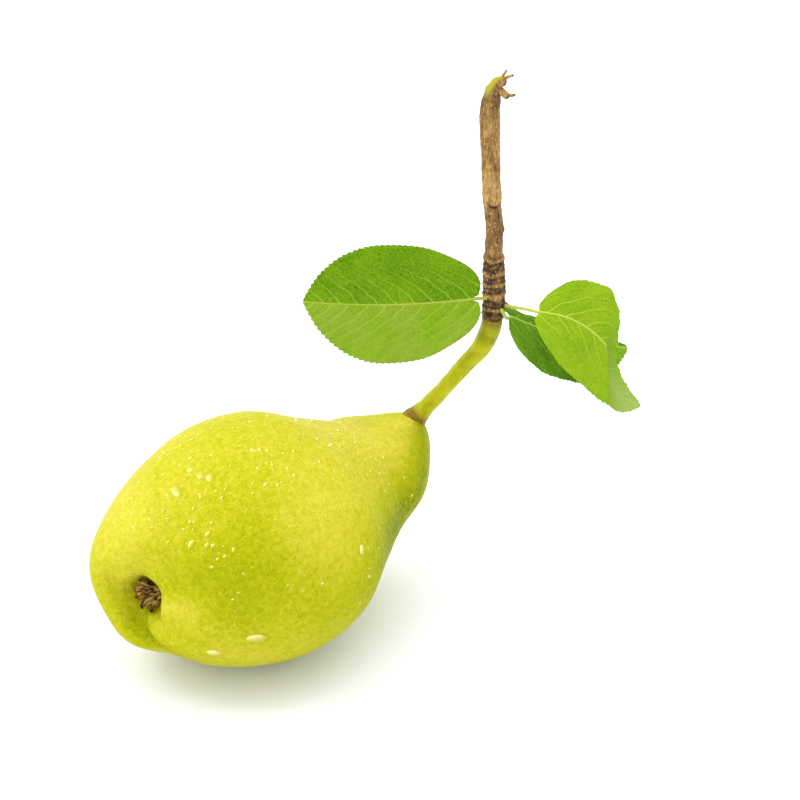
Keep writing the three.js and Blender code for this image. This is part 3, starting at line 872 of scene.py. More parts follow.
@dataclass
class Fruit:
    """The pear itself: a turned outline made lopsided, lying on a small flat spot."""

    length: float = 95.0
    belly_at: float = 36.0
    profile: Pairs = (
        (0, 6.6), (2.6, 6.3), (4.3, 4.8), (5.9, 2.5), (8, 0.8), (11, 0), (15.2, 0.5), (19.8, 2.9),
        (25.6, 9.5), (31.3, 21), (34.9, 36), (33, 51), (25.2, 64.5), (18.8, 76), (16, 85.5),
        (9.6, 91.7), (3.9, 94.3), (0, 94.8))
    sides: int = 280
    rings: int = 210
    neck_shift: Vector = Vector((0, -4.5, 15.5))
    neck_power: float = 6.0
    calyx_shift: Vector = Vector((0, -5.5, 2.5))
    calyx_reach: float = 0.3
    oval: float = 0.05
    oval_angle: float = -12.0
    ribs: int = 5
    rib_depth: float = 0.7
    rib_start: Pair = (2, 12)
    rib_end: Pair = (4, 34)
    furrows: Sequence[Furrow] = (Furrow(3.0, 250, 36, 2.9, 2, 14), Furrow(3, 270, 0, 7.5, 14, 24))
    furrow_turn: Pair = (10, 28)
    dips: Sequence[Dip] = (Dip(2.2, 2, 38, 12, 6), Dip(-2.4, 172, 50, 7.6, 3))
    dip_end: Pair = (3, 12)
    basin_shift: Vector = Vector((0, 5.4, -2.9))
    basin_edge: Pair = (5.4, 18)
    neck_fill: float = 2.0
    fill_angle: float = 104.0
    fill_spread: float = 50.0
    fill_at: float = 76.0
    fill_length: float = 10.0
    lump_depth: float = 0.12
    lump_sizes: Pair = (9.0, 3.5)
    smooth_tip: float = 0.08
    ripeness: float = 0.55
    furrow_shade: float = 0.1
    patches: Sequence[Patch] = (
        Patch(0.2, 45, 0.2, 45, 0.25), Patch(0.23, 148, 0.13, 30, -0.22),
        # The brighter patch on top of the neck (0.88, 112) is painted light, where the skin faces
        # the light above
        Patch(0.62, 100, 0.14, 38, 0.12), Patch(0.88, 112, 0.2, 40, 0.38),
        # These two darker patches along the neck's far edge are painted shade
        Patch(0.8, 186, 0.2, 32, -0.4), Patch(0.62, 176, 0.16, 22, -0.2),
        Patch(0.28, 208, 0.25, 20, 0.1), Patch(0.09, 174, 0.035, 20, 0.34),
        Patch(0.5, 146, 0.16, 28, 0.25))

    def __post_init__(self) -> None:
        """Lays out the outline from the calyx to the stalk."""
        points = [Vector((radius, distance, 0)) for radius, distance in self.profile]
        self.outline = SmoothCurve(points, Ends.CLAMPED)

    def point(self, radius: float, distance: float, angle: float) -> Vector:
        """Where a point of the turned outline goes on the real, lopsided fruit.

        Args:
            radius: Its distance from the axis.
            distance: Its distance from the calyx end along the axis.
            angle: Its angle round the axis, in radians from +Y towards +Z.

        Returns:
            The point, from the belly centre.
        """
        from_belly = distance - self.belly_at
        neck_length = self.length - self.belly_at
        neck = max(from_belly / neck_length, 0.0)
        calyx = max(self.calyx_reach - distance / self.length, 0.0) / self.calyx_reach
        shift = self.neck_shift * neck**self.neck_power + self.calyx_shift * calyx**2
        neck_slope = self.neck_power * neck ** (self.neck_power - 1) / neck_length
        calyx_slope = 2 * calyx / (self.calyx_reach * self.length)
        slope = self.neck_shift * neck_slope - self.calyx_shift * calyx_slope

        ribs = self.rib_depth * math.cos(self.ribs * angle) * eased(radius, *self.rib_start)
        ribs *= 1 - eased(distance, *self.rib_end)
        furrow = sum(groove.sunk(radius, distance, angle) for groove in self.furrows)
        # Furrows go in along the axis near the basin and square to it on the side of the fruit
        inwards = eased(radius, *self.furrow_turn)
        hollow = 0.0
        for dip in self.dips:
            around = swell(turn_between(math.radians(dip.angle), angle), math.radians(dip.width))
            hollow += dip.depth * around * swell(radius - dip.reach, dip.spread)
        hollow *= 1 - eased(distance, *self.dip_end)
        hollow += furrow * (1 - inwards)
        beside = turn_between(math.radians(self.fill_angle), angle)
        fill = self.neck_fill * swell(beside, math.radians(self.fill_spread))
        fill *= swell(distance - self.fill_at, self.fill_length)
        in_basin = 1 - eased(math.hypot(radius, 2 * distance), *self.basin_edge)

        oval = 1 + self.oval * math.cos(2 * (angle - math.radians(self.oval_angle)))
        reach = (radius + ribs - furrow * inwards + fill) * oval if radius > 1e-6 else 0.0
        y, z = reach * math.cos(angle), reach * math.sin(angle)
        steep = math.hypot(1, slope.y, slope.z)
        return Vector((
            from_belly + hollow - (slope.y * y + slope.z * z) / steep,
            shift.y + y / math.hypot(1, slope.y),
            shift.z + z / math.hypot(1, slope.z),
        )) + self.basin_shift * in_basin

    def skin(self, share: float, angle: float) -> Vector:
        """The skin at a share of the outline's length from the calyx, and an angle round it."""
        spot = self.outline.at(share)
        return self.point(max(spot.x, 0.0), spot.y, angle)

    def outward(self, share: float, angle: float) -> Vector:
        """The direction straight out of the skin.

        Args:
            share: Where, as a share of the outline's length from the calyx.
            angle: The angle round the axis, in radians.

        Returns:
            The direction, of length 1.
        """
        step, turn = 0.004, 0.03
        along_it = self.skin(share + step, angle) - self.skin(share - step, angle)
        round_it = self.skin(share, angle + turn) - self.skin(share, angle - turn)
        return round_it.cross(along_it).normalized()

    def build(self) -> bpy.types.Object:
        """Grows the skin as one closed surface.

        Returns:
            The piece.
        """
        total = self.outline.length

        def place(around: float, share: float) -> Spot:
            """Where a vertex of the skin goes, with its marks."""
            angle = 2 * math.pi * around
            point = self.skin(share, angle)
            tip = min(share, 1 - share)
            broad, fine = self.lump_sizes
            lumps = self.lump_depth * (rough(point, broad) + 0.4 * rough(point, fine, 4.0))
            point -= self.outward_hint(point) * lumps * eased(tip, 0.0, self.smooth_tip)
            # The flesh is pressed flat where it rests on the surface
            point.z = max(point.z, -BELLY_CENTRE.z)
            ripe_and_lit = self.ripeness
            # The patches add painted light and painted shade to the ripeness
            for patch in self.patches:
                turn = turn_between(math.radians(patch.angle), angle)
                ripe_and_lit += patch.ripeness * swell(share - patch.share, patch.reach) * swell(
                    turn, math.radians(patch.spread))
            spot = self.outline.at(share)
            # Painted shade: the first furrow is painted greener and darker along its floor
            ripe_and_lit -= self.furrow_shade * self.furrows[0].sunk(spot.x, spot.y, angle)
            return point, {"from_calyx": share * total, "ripe_and_lit": ripe_and_lit}

        mesh = new_mesh("from_calyx", "ripe_and_lit")
        grown_grid(mesh, self.sides, self.rings, place)
        return finished(mesh, "fruit_skin", PearSkin().material(), "fruit", ["fruit"])

    @staticmethod
    def outward_hint(point: Vector) -> Vector:
        """Roughly outwards: straight away from the belly centre's axis."""
        return Vector((0.15 * point.x, point.y, point.z)).normalized()


# ---- The calyx ----------------------------------------------------------------------------------


@dataclass(frozen=True)
class Sepal:
    """A dry sepal, or a piece of a split one. Its angle is in degrees and the rest in mm."""

    angle: float
    length: float
    spread: float
    width: float
    seed: float


@dataclass
class Calyx:
    """The dry rest of the flower: sepals round a tuft of stamens, in the basin."""

    fruit: Fruit
    floor: float = 6.4
    sepals: Sequence[Sepal] = (
        Sepal(66, 4.8, 3.1, 3.4, 0.0), Sepal(16, 5.0, 1.7, 2.7, 2.1),
        Sepal(334, 4.6, 1.3, 2.6, 4.4), Sepal(284, 5.0, 2.7, 2.7, 1.2),
        Sepal(240, 4.8, 3.2, 2.0, 3.3), Sepal(185, 4.2, 0.8, 2.8, 5.1),
        Sepal(125, 4.6, 1.1, 3.0, 0.8))
    sepal_thickness: float = 0.52
    sepal_root: float = 2.0
    sepal_grooves: int = 5
    sepal_cup: float = 0.45
    sepal_lump: float = 0.3
    stamens: int = 24
    stamen_turn: float = 2.4
    stamen_roots: Pair = (0.3, 2.0)
    stamen_length: float = 4.2
    stamen_lengths: Pair = (0.7, 1.15)
    stamen_spreads: Pair = (-0.6, 1.6)
    stamen_radii: Pair = (0.13, 0.24)
    stamen_paleness: Pair = (0.1, 0.5)
    hub_radius: float = 2.6
    hub_height: float = 1.2
    upright: Vector = Vector((0, 1, 0))

    def ray(
        self, angle: float, root: float, length: float, spread: float, lift: float
    ) -> SmoothCurve:
        """The centre line of a sepal or stamen.

        Args:
            angle: Where it stands round the calyx, in radians.
            root: How far out from the middle it starts.
            length: How far it rises.
            spread: How far its tip leans out.
            lift: How high its tip ends, as a share of its length.

        Returns:
            The line, from the floor of the basin to the tip.
        """
        return SmoothCurve([
            self.fruit.point(root + spread * out, self.floor - length * up, angle)
            for out, up in ((0, 0), (0.25, 0.4), (0.6, 0.75), (1, lift))])

    def build(self) -> bpy.types.Object:
        """Grows the sepals, the stamens and the floor that they stand on.

        Returns:
            The piece.
        """
        draw = random.Random(5)
        mesh = new_mesh("ridge")
        for sepal in self.sepals:
            self._sepal(mesh, sepal)
        for i in range(self.stamens):
            inner, outer = self.stamen_roots
            root = inner + (outer - inner) * (i / self.stamens) ** 0.5
            length = self.stamen_length * draw.uniform(*self.stamen_lengths)
            spread = draw.uniform(*self.stamen_spreads)
            line = self.ray(i * self.stamen_turn, root, length, spread, 1.0)
            thick = draw.uniform(*self.stamen_radii)
            paleness = draw.uniform(*self.stamen_paleness)
            grown_tube(
                mesh, line, lambda d, a: thick * (1.05 - eased(d, 0.5 * line.length, line.length)),
                sides=7, rows=14, towards=self.upright,
                marks=lambda d, a: {
                    "ridge": paleness - 0.3 * eased(d, line.length * 0.7, line.length)})
        hub = SmoothCurve([
            self.fruit.point(0, self.floor + side * self.hub_height / 2, 0) for side in (1, -1)])
        grown_tube(
            mesh, hub, lambda d, a: self.hub_radius * (1 - 0.5 * d / hub.length),
            sides=20, rows=6, towards=self.upright, marks=lambda d, a: {"ridge": 0.02})
        return finished(mesh, "dry_calyx", DryScale().material(), "calyx", ["calyx"])

    def _sepal(self, mesh: bmesh.types.BMesh, sepal: Sepal) -> None:
        """Adds a chunky, ridged sepal with a dark, curled tip.

        Args:
            mesh: What it is added to.
            sepal: The sepal.
        """
        angle = math.radians(sepal.angle)
        line = self.ray(angle, self.sepal_root, sepal.length, sepal.spread, 0.95)
        across = Vector((0, -math.sin(angle), math.cos(angle)))

        def place(around: float, share: float) -> Spot:
            """Where a vertex of the scale goes, with its marks."""
            turn = 2 * math.pi * around
            taper = 1 - 0.55 * eased(share, 0.5, 1)
            grooves = math.cos(self.sepal_grooves * turn + sepal.seed)
            # Drying has shrunk the scale into rolls across its length
            rolls = math.sin(8.5 * share + 0.9 * math.cos(turn) + 3 * sepal.seed)
            out = line.heading(share).cross(across).normalized()
            width = sepal.width / 2 * taper * (1 + 0.08 * rolls)
            body = self.sepal_thickness * (0.5 + 0.5 * taper) * (1 + 0.3 * grooves + 0.3 * rolls)
            cup = self.sepal_cup * math.cos(turn) ** 2 * width
            ends = 0.0 if share < 1e-6 or share > 1 - 1e-6 else 1.0
            point = line.at(share) + across * math.cos(turn) * width * ends
            point += out * (math.sin(turn) * body - cup) * ends
            lump = rough(point, 1.1, sepal.seed)
            point += out * self.sepal_lump * lump * ends
            # Painted light and shade: the ridge mark is higher on crests and lower in grooves, and
            # its lumps are the scale's own mottling
            ridge = 0.3 + 0.16 * grooves + 0.24 * rolls + 0.3 * lump
            return point, {"ridge": ridge - 0.35 * eased(share, 0.84, 1.0)}

        grown_grid(mesh, columns=48, rows=34, place=place)


# ---- Stalk and spur -----------------------------------------------------------------------------


@dataclass
class Stalk:
    """The curved fruit stalk, flared where it joins the neck of the fruit.

    Where its corky foot ends is counted from its lower end, the collar and the shade from the top.
    """

    path: Sequence[Place] = (
        (57.6, -2.7, 12.6), (59.8, -6.2, 18.4), (62.7, -10.6, 25.6), (66.4, -15.2, 34.2),
        (69.3, -18.8, 40.8), (70.6, -20.6, 47.1), (70.8, -21, 50.6))
    radii: Pairs = (
        (0, 3.7), (2.2, 3.5), (5, 2.75), (9, 2.3), (18, 2.2), (28, 2.35), (37, 2.75), (46, 2.8))
    strings: int = 11
    string_depth: float = 0.05
    lump_depth: float = 0.1
    lump_size: float = 3.0
    foot_end: Pair = (3.6, 9)
    collar: Pair = (5, 0.5)
    collar_cork: float = 0.62
    shaded_end: Pair = (11, 2)
    shade: float = 0.28

    def build(self) -> bpy.types.Object:
        """Grows the stalk.

        Returns:
            The piece.
        """
        line = SmoothCurve(self.path)

        def radius(distance: float, angle: float) -> float:
            """The stalk's radius, with its fine strings and lumps."""
            spot = line.at(distance / line.length) + 3 * Vector((
                math.cos(angle), math.sin(angle), 0))
            strings = self.string_depth * math.sin(self.strings * angle + 0.15 * distance)
            lumps = self.lump_depth * rough(spot, self.lump_size)
            return along(self.radii, distance) + lumps + strings

        def marks(distance: float, angle: float) -> Marks:
            """How corky and how shaded it is: corky at both ends, shaded under the spur."""
            foot = 1 - eased(distance, *self.foot_end)
            collar, shaded = [
                eased(distance, line.length - start, line.length - end)
                for start, end in (self.collar, self.shaded_end)]
            return {"cork": max(foot, self.collar_cork * collar), "shade": self.shade * shaded}

        mesh = new_mesh("cork", "shade")
        grown_tube(mesh, line, radius, sides=56, rows=150, towards=Vector((0, 1, 0)), marks=marks)
        return finished(mesh, "fruit_stalk", GreenStalk().material(), "stalk", ["stalk"])


@dataclass(frozen=True)
class BarkBump:
    """A rounded mark on the bark: a leaf scar, a dormant bud or a leaf base. Angles in degrees."""

    at: float
    angle: float
    height: float
    length: float
    spread: float


@dataclass(frozen=True)
class Twiglet:
    """Something short that stands out of the spur."""

    path: Sequence[Place]
    start_radius: float
    end_radius: float
    sap: float = 0.0
    pale: float = 0.66


@dataclass
class Spur:
    """The woody spur: ring scars below, smoother bark above, and a hooked, broken top.

    Distances are in mm along it from its lower end.
    """

    path: Sequence[Place] = (
        (70.9, -21, 50.6), (71.1, -21.1, 55.7), (71.2, -20.6, 67.2), (71.8, -19.8, 78.8),
        (71.7, -19, 85.1), (72.6, -17.1, 98.8), (73.9, -15.3, 109.3), (74.6, -15.1, 112.4),
        (75.1, -15.4, 115.2), (75.9, -16.1, 117.3), (76.7, -17.3, 118.4))
    radii: Pairs = (
        (0, 2.75), (2, 2.85), (6, 2.9), (12, 2.85), (17.5, 2.7), (19.5, 2.35), (24, 2.3), (33, 2.3),
        (35.5, 2.45), (46, 2.5), (56, 2.7), (61, 2.55), (64.5, 2.1), (67, 1.5), (68.8, 0.75))
    ring_scars: Sequence[float] = (1.0, 3.2, 7.4, 10.6, 14.0, 18.2)
    fine_scars: Sequence[float] = (5.2, 9.1, 12.3, 16.0, 22.1, 34.0, 36.4)
    scar_height: float = 0.3
    scar_width: float = 0.75
    fine_scar_width: float = 0.4
    fissure_depth: float = 0.1
    grain_depth: float = 0.12
    paleness: Pairs = (
        (0, 0.62), (18, 0.64), (20, 0.48), (33, 0.52), (35, 0.68), (48, 0.58), (58, 0.56),
        (62, 0.46), (66, 0.56))
    ringed_end: Pair = (17.5, 20)
    shaded_foot: Pair = (0.5, 4)
    foot_shade: float = 0.22
    crescent_shade: float = 0.5
    sap_start: Pair = (62, 65.5)
    sap: float = 0.95
    bumps: Sequence[BarkBump] = (
        BarkBump(35, 238, 0.55, 1, 48), BarkBump(26.5, 292, 0.6, 1, 22),
        BarkBump(6, 228, 0.55, 1.6, 30))
    twiglets: Sequence[Twiglet] = (
        Twiglet(((75.1, -15.4, 116), (76, -17.2, 114.6), (76.9, -19.1, 113.3)), 1.1, 0.95),
        Twiglet(((76.7, -18.7, 113.7), (77.2, -19.7, 114), (77.7, -20.6, 114.4)), 0.5, 0.35),
        Twiglet(((76.2, -16.6, 118), (76.9, -17, 119.1), (77.6, -17.4, 120.3)), 0.45, 0.32),
        Twiglet(((76.5, -17.2, 117.9), (77.2, -18.3, 118.8), (77.9, -19.6, 119.6)), 0.5, 0.35),
        Twiglet(((75.9, -16.6, 116.8), (76.4, -17.4, 117.2), (76.8, -18.1, 117.1)), 1.35, 0.9),
        Twiglet(((72.2, -20.6, 54.8), (74.4, -21.6, 53), (75.8, -22.8, 51.9)), 1.5, 0.6, pale=0.34))

    def build(self) -> bpy.types.Object:
        """Grows the twig and everything woody on it.

        Returns:
            The piece.
        """
        line = SmoothCurve(self.path)

        def scars(distance: float) -> float:
            """How much of a ring scar there is at a distance along the twig."""
            coarse = sum(swell(distance - at, self.scar_width) for at in self.ring_scars)
            return coarse + 0.45 * sum(
                swell(distance - at, self.fine_scar_width) for at in self.fine_scars)

        def radius(distance: float, angle: float) -> float:
            """The twig's radius, with its scars, bumps and fissures."""
            spot = Vector((3 * math.cos(angle), 3 * math.sin(angle), distance))
            wander = distance + 0.5 * rough(spot, 4.0, 7.0)
            size = along(self.radii, distance) + self.scar_height * scars(wander)
            for mark in self.bumps:
                around = turn_between(math.radians(mark.angle), angle)
                size += mark.height * swell(distance - mark.at, mark.length) * swell(
                    around, math.radians(mark.spread))
            fissures = rough(Vector((spot.x * 2.2, spot.y * 2.2, spot.z * 0.5)), 1.6, 3.0)
            return size + self.fissure_depth * fissures + self.grain_depth * rough(spot, 1.3, 1.0)

        def marks(distance: float, angle: float) -> Marks:
            """How deep in a groove, how pale and how green the bark is; the groove mark also holds
            painted shade at the foot and under the leaf scar.
            """
            spot = Vector((3 * math.cos(angle), 3 * math.sin(angle), distance))
            wander = distance + 0.7 * rough(spot, 3.0, 7.0)
            between_scars = 1 - min(scars(wander), 1.0)
            ringed = 1 - eased(distance, *self.ringed_end)
            groove = ringed * (0.46 + 0.4 * rough(spot, 1.8, 2.0)) * between_scars
            # Painted shade darkens the foot of the spur, where it meets the stalk
            groove += self.foot_shade * (1 - eased(distance, *self.shaded_foot))
            # A leaf scar is a dark crescent below its raised pad, also painted darker as the pad's
            # shade
            scar = self.bumps[0]
            around = turn_between(math.radians(scar.angle), angle) / math.radians(scar.spread)
            crescent = scar.at - 1.5 + 1.3 * around**2
            groove += self.crescent_shade * swell(distance - crescent, 0.3) * swell(around, 0.9)
            # Only one side of the hooked top has kept its green
            green_side = eased(math.sin(angle - 0.6), -0.2, 0.6)
            sap = self.sap * eased(distance, *self.sap_start) * green_side
            return {"groove": groove, "pale": along(self.paleness, distance), "sap": sap}

        mesh = new_mesh("groove", "pale", "sap")
        grown_tube(mesh, line, radius, sides=72, rows=460, marks=marks)
        for twiglet in self.twiglets:
            self._twiglet(mesh, twiglet)
        return finished(mesh, "woody_spur", PearBark().material(), "spur", ["spur"])

    @staticmethod
    def _twiglet(mesh: bmesh.types.BMesh, twiglet: Twiglet) -> None:
        """Adds a bud or a broken end with a rounded tip.

        Args:
            mesh: What it is added to.
            twiglet: The bud or broken end.
        """
        line = SmoothCurve(twiglet.path)

        def radius(distance: float, angle: float) -> float:
            """Its radius, which tapers, with lumps and a rounded tip."""
            share = distance / line.length
            tip = max(share - 0.75, 0.0) / 0.29
            taper = twiglet.start_radius + (twiglet.end_radius - twiglet.start_radius) * share
            spot = line.at(share) + Vector((math.cos(angle), math.sin(angle), 0))
            return taper * math.sqrt(1 - tip * tip) * (1 + 0.12 * rough(spot, 0.8))

        grown_tube(
            mesh, line, radius, sides=24, rows=30, towards=Vector((0.2, 0.3, 1)),
            marks=lambda d, a: {
                "groove": 0.5 * eased(d, 0.8 * line.length, line.length), "pale": twiglet.pale,
                "sap": twiglet.sap})


# ---- Leaves -------------------------------------------------------------------------------------


@dataclass(frozen=True)
class Curl:
    """Past a slanting line, the blade rolls back round a cylinder, or up if the radius is below 0.

    Angles are in degrees.
    """

    at: float
    turn: float
    radius: float
    angle: float

    @property
    def heading(self) -> Vector:
        """The direction square to the line, in the plane of the blade."""
        return Vector((math.cos(math.radians(self.turn)), math.sin(math.radians(self.turn)), 0))

    def past(self, point: Vector) -> float:
        """How far a point of the blade is past the line."""
        return point.dot(self.heading) - self.at * self.heading.x

    def bent(self, point: Vector) -> Vector:
        """Bends a point of the blade.

        Args:
            point: The point before the roll, in the plane of the blade.

        Returns:
            Where it goes.
        """
        past, heading, most = self.past(point), self.heading, math.radians(self.angle)
        if past <= 0:
            return point
        size = abs(self.radius)
        bend = math.copysign(min(past / size, most), self.radius)
        beyond = max(past - size * most, 0.0)
        reach = (self.radius + point.z) * math.sin(bend) + beyond * math.cos(bend)
        height = (self.radius + point.z) * math.cos(bend) - self.radius - beyond * math.sin(bend)
        moved = point + heading * (reach - past)
        moved.z = height
        return moved


BROAD_OUTLINE: Pairs = (
    (-0.07, 0.02), (-0.08, 0.1), (-0.03, 0.19), (0.08, 0.27), (0.24, 0.345), (0.42, 0.372),
    (0.6, 0.365), (0.76, 0.3), (0.89, 0.19), (0.965, 0.08), (1, 0.008))
OVATE_OUTLINE: Pairs = (
    (-0.01, 0.015), (-0.015, 0.09), (0.03, 0.17), (0.13, 0.235), (0.28, 0.27), (0.45, 0.272),
    (0.62, 0.24), (0.78, 0.18), (0.9, 0.105), (0.97, 0.045), (1, 0.008))
ROUND_OUTLINE: Pairs = (
    (0, 0.012), (-0.01, 0.07), (0.03, 0.16), (0.12, 0.25), (0.28, 0.3), (0.45, 0.3), (0.62, 0.26),
    (0.78, 0.19), (0.9, 0.11), (0.97, 0.045), (1, 0.008))


@dataclass
class Leaf:
    """A leaf with its stem. Shares are of the blade's length, lengths in mm, angles in degrees."""

    name: str
    finish: LeafBlade
    outline: Pairs
    length: float
    teeth: int
    base: Place
    heading: float
    climb: float
    roll: float
    width: Pair
    fold: Pair
    bow: float
    arch: float
    wave: float
    petiole: Sequence[Place]
    curls: Sequence[Curl] = ()
    thickness: float = 0.36
    stem_radii: Pairs = ((0, 0.56), (0.1, 0.46), (0.25, 0.42), (1, 0.16))
    midrib_reach: float = 0.93
    tooth_height: float = 0.42
    tooth_skew: float = 1.3
    vein_depth: float = 0.14
    vein_width: float = 0.45
    vein_fade: Pair = (9, 17)
    midrib_depth: float = 0.15
    midrib_width: float = 0.7
    midrib_drop: float = 0.28
    midrib_points: int = 14
    quilt_depth: float = 0.096
    pucker_depth: float = 0.12
    pucker_size: float = 2.2
    # How much painted sheen shows on the rolled-back part
    painted_sheen_share: float = 0.7
    columns: int = 44
    faces_per_tooth: int = 6

    def __post_init__(self) -> None:
        """Works out the half outline and where the blade stands."""
        self.edge = SmoothCurve([Vector((x, y, 0)) for x, y in self.outline], Ends.CLAMPED)
        self.place = (
            Matrix.Translation(Vector(self.base))
            @ Matrix.Rotation(math.radians(self.heading), 4, "Z")
            @ Matrix.Rotation(math.radians(-self.climb), 4, "Y")
            @ Matrix.Rotation(math.radians(self.roll), 4, "X"))

    def veins(self, x: float, out: float, left: bool) -> float:
        """How near a place is to a side vein.

        Args:
            x: How far along the midrib.
            out: How far out from it.
            left: Whether it is on the left half.

        Returns:
            From 0 between two veins to 1 on one.
        """
        finish = self.finish
        start = x - finish.vein_lean * out - finish.vein_curve * out**2
        phase = start / finish.vein_pitch + (0.5 if left else 0.0)
        off = abs(phase - round(phase)) * finish.vein_pitch
        fade = eased(out, 0.2, 1.5) * (1 - eased(out, *self.vein_fade))
        return swell(off, self.vein_width) * fade

    def shaped(self, x: float, y: float, lift: float) -> Vector:
        """Where a point of the flat blade goes as it folds, arches and curls.

        Args:
            x: How far along the midrib.
            y: How far to its left.
            lift: How far above the middle of the blade's thickness.

        Returns:
            The point, from the belly centre.
        """
        share = x / self.length
        fold = self.fold[0] if y > 0 else self.fold[1]
        wave = self.wave * (y / 12) ** 2 * math.sin(
            2 * math.pi * share * 2.3 + (0 if y > 0 else 2))
        rise = fold * (math.hypot(y, 1.2) - 1.2) - self.arch * share**2 + wave
        bowed = y + self.bow * 4 * share * (1 - share)
        point = Vector((x, bowed, rise + lift))
        for curl in self.curls:
            point = curl.bent(point)
        return self.place @ point

    def rolled(self, x: float, y: float) -> float:
        """How much painted sheen a place shows where the blade rolls back.

        Args:
            x: How far along the midrib.
            y: How far to its left.

        Returns:
            How much of the painted sheen shows, fading out on the left half.
        """
        bowed = y + self.bow * 4 * x / self.length * (1 - x / self.length)
        kept = self.painted_sheen_share * (1 - eased(y, 1, 10))
        return max([0.0] + [
            kept * eased(curl.past(Vector((x, bowed, 0))), 0, 2.5) for curl in self.curls
            if 0 < curl.radius < 5])

    def blade(self, mesh: bmesh.types.BMesh) -> None:
        """Adds the upper and lower skins of the blade, which meet along its toothed edge.

        Args:
            mesh: What they are added to.
        """
        rows = self.teeth * self.faces_per_tooth

        def flat(across: float, share: float) -> Pair:
            """How far along the midrib and to its left a vertex of the flat blade is."""
            edge = self.edge.at(share) * self.length
            left = across > 0.5
            reach = abs(2 * across - 1)
            along_tooth = (share * self.teeth) % 1.0
            tooth = self.tooth_height * (along_tooth**self.tooth_skew - 0.55)
            tooth *= eased(reach, 0.9, 1.0) * min(1.0, edge.y / 3, 12 * share)
            rib = self.length * (0.995 * max(share * 1.12 - 0.12, 0) ** 0.9 + 0.004 * share)
            x = rib + (edge.x - rib) * reach + tooth
            out = self.width[0 if left else 1] * edge.y * reach + tooth
            return x, out if left else -out

        def face(side: float) -> Callable[[float, float], Spot]:
            """What places the upper skin, for a side of 1, or the lower one, for -1."""

            def place(across: float, share: float) -> Spot:
                """Where a vertex of the skin goes, with its marks."""
                # Columns crowd towards the edge, where the teeth are
                spread = 2 * across - 1
                spread = math.copysign(1 - (1 - abs(spread)) ** 1.25, spread)
                x, y = flat((spread + 1) / 2, share)
                out, left = abs(y), y > 0
                rim = 1 - abs(spread)
                half = self.thickness / 2 * min(1.0, (rim * 12) ** 0.5)
                half *= min(1.0, 40 * (1 - share)) * min(1.0, 60 * share)
                sunk = self.vein_depth * self.veins(x, out, left)
                sunk += self.midrib_depth * swell(out, self.midrib_width)
                phase = (x - self.finish.vein_lean * out) / self.finish.vein_pitch
                quilt = math.cos(2 * math.pi * (phase + (0.5 if left else 0.0)))
                sunk += self.quilt_depth * quilt * eased(out, 1, 5)
                puckers = self.pucker_depth * rough(Vector((x, y, 0)), self.pucker_size, 3.0)
                lift = side * half - sunk + puckers
                return self.shaped(x, y, lift), {
                    "from_base": x, "from_midrib": out, "left": 1.0 if left else 0.0,
                    "rolled": self.rolled(x, y)}

            return place

        for side in (1.0, -1.0):
            grown_grid(mesh, 2 * self.columns, rows, face(side))

    def stem(self, mesh: bmesh.types.BMesh) -> None:
        """Adds the petiole, which runs on as a raised midrib under the blade.

        Args:
            mesh: What it is added to.
        """
        reach = self.midrib_reach * self.length
        midrib = [
            self.shaped(reach * (0.02 + i / self.midrib_points), 0, -self.midrib_drop)
            for i in range(self.midrib_points)]
        line = SmoothCurve([*self.petiole, *midrib])
        grown_tube(
            mesh, line, lambda d, a: along(self.stem_radii, d / line.length), sides=20, rows=150,
            towards=Vector((0.1, 0.2, 1)), marks=lambda d, a: {"from_base": 8.0})

    def build(self) -> bpy.types.Object:
        """Grows the leaf.

        Returns:
            The piece.
        """
        mesh = new_mesh("from_base", "from_midrib", "left", "rolled")
        self.blade(mesh)
        self.stem(mesh)
        return finished(
            mesh, self.name + "_blade", self.finish.material(), self.name, [self.name], crease=75)


def leaves() -> list[Leaf]:
    """Lists the three leaves, each with its own green.

    Returns:
        The leaves.
    """
    return [
        Leaf(
            "leaf_left",
            # The left leaf's light green and its paler half are painted sheen
            LeafBlade("left_leaf_green", "4a7602", "658c06", "758f28", "98b53c", "9aa640",
                      vein_pitch=5.0, painted_light_left=0.26),
            BROAD_OUTLINE, 44, 40, (63.7, -18.4, 57.6), 134, -2.5, -56,
            (0.96, 0.96), (0.21, 0.2), 1.1, 1.5, 0.4,
            ((70.6, -21.6, 57.2), (68.2, -21.3, 57.6), (65.8, -20, 57.8))),
        Leaf(
            "leaf_right_front",
            LeafBlade("front_leaf_green", "618604", "74970b", "85a71b", "a6c244", "b4ba52",
                      vein_pitch=5.8),
            ROUND_OUTLINE, 48.1, 38, (76.4, -32.9, 55), -55.3, -8.9, 2.4,
            (0.87, 1.08), (0.39, 0), 4, -1.9, 0.3,
            ((72.4, -22.3, 54.2), (73.6, -24.3, 53.9), (74.9, -28.4, 54.6)),
            (Curl(31.5, -7.4, -12.6, 61), Curl(24, 37.8, 2, 44), Curl(-0.3, -24.9, 16.2, 53))),
        Leaf(
            "leaf_right_back",
            LeafBlade("back_leaf_green", "345e04", "4b7708", "608c12", "92ba4c", "a4b84a",
                      vein_pitch=5.0, painted_light_left=-0.3),
            OVATE_OUTLINE, 40.4, 36, (76.1, -22.4, 49.1), -23.3, -22.9, 21.8,
            (1.16, 1.18), (-0.71, -0.29), -3.1, 3.5, 0.3,
            ((70.6, -22.6, 54.6), (71, -24.3, 53.7), (71.9, -24.6, 51.7), (73.8, -23.7, 49.9))),
    ]


# ---- Water on the skin --------------------------------------------------------------------------


@dataclass(frozen=True)
class Drop:
    """A drop on the skin. Its two widths are in mm and its angles in degrees."""

    share: float
    angle: float
    length: float
    width: float
    turn: float = 0.0


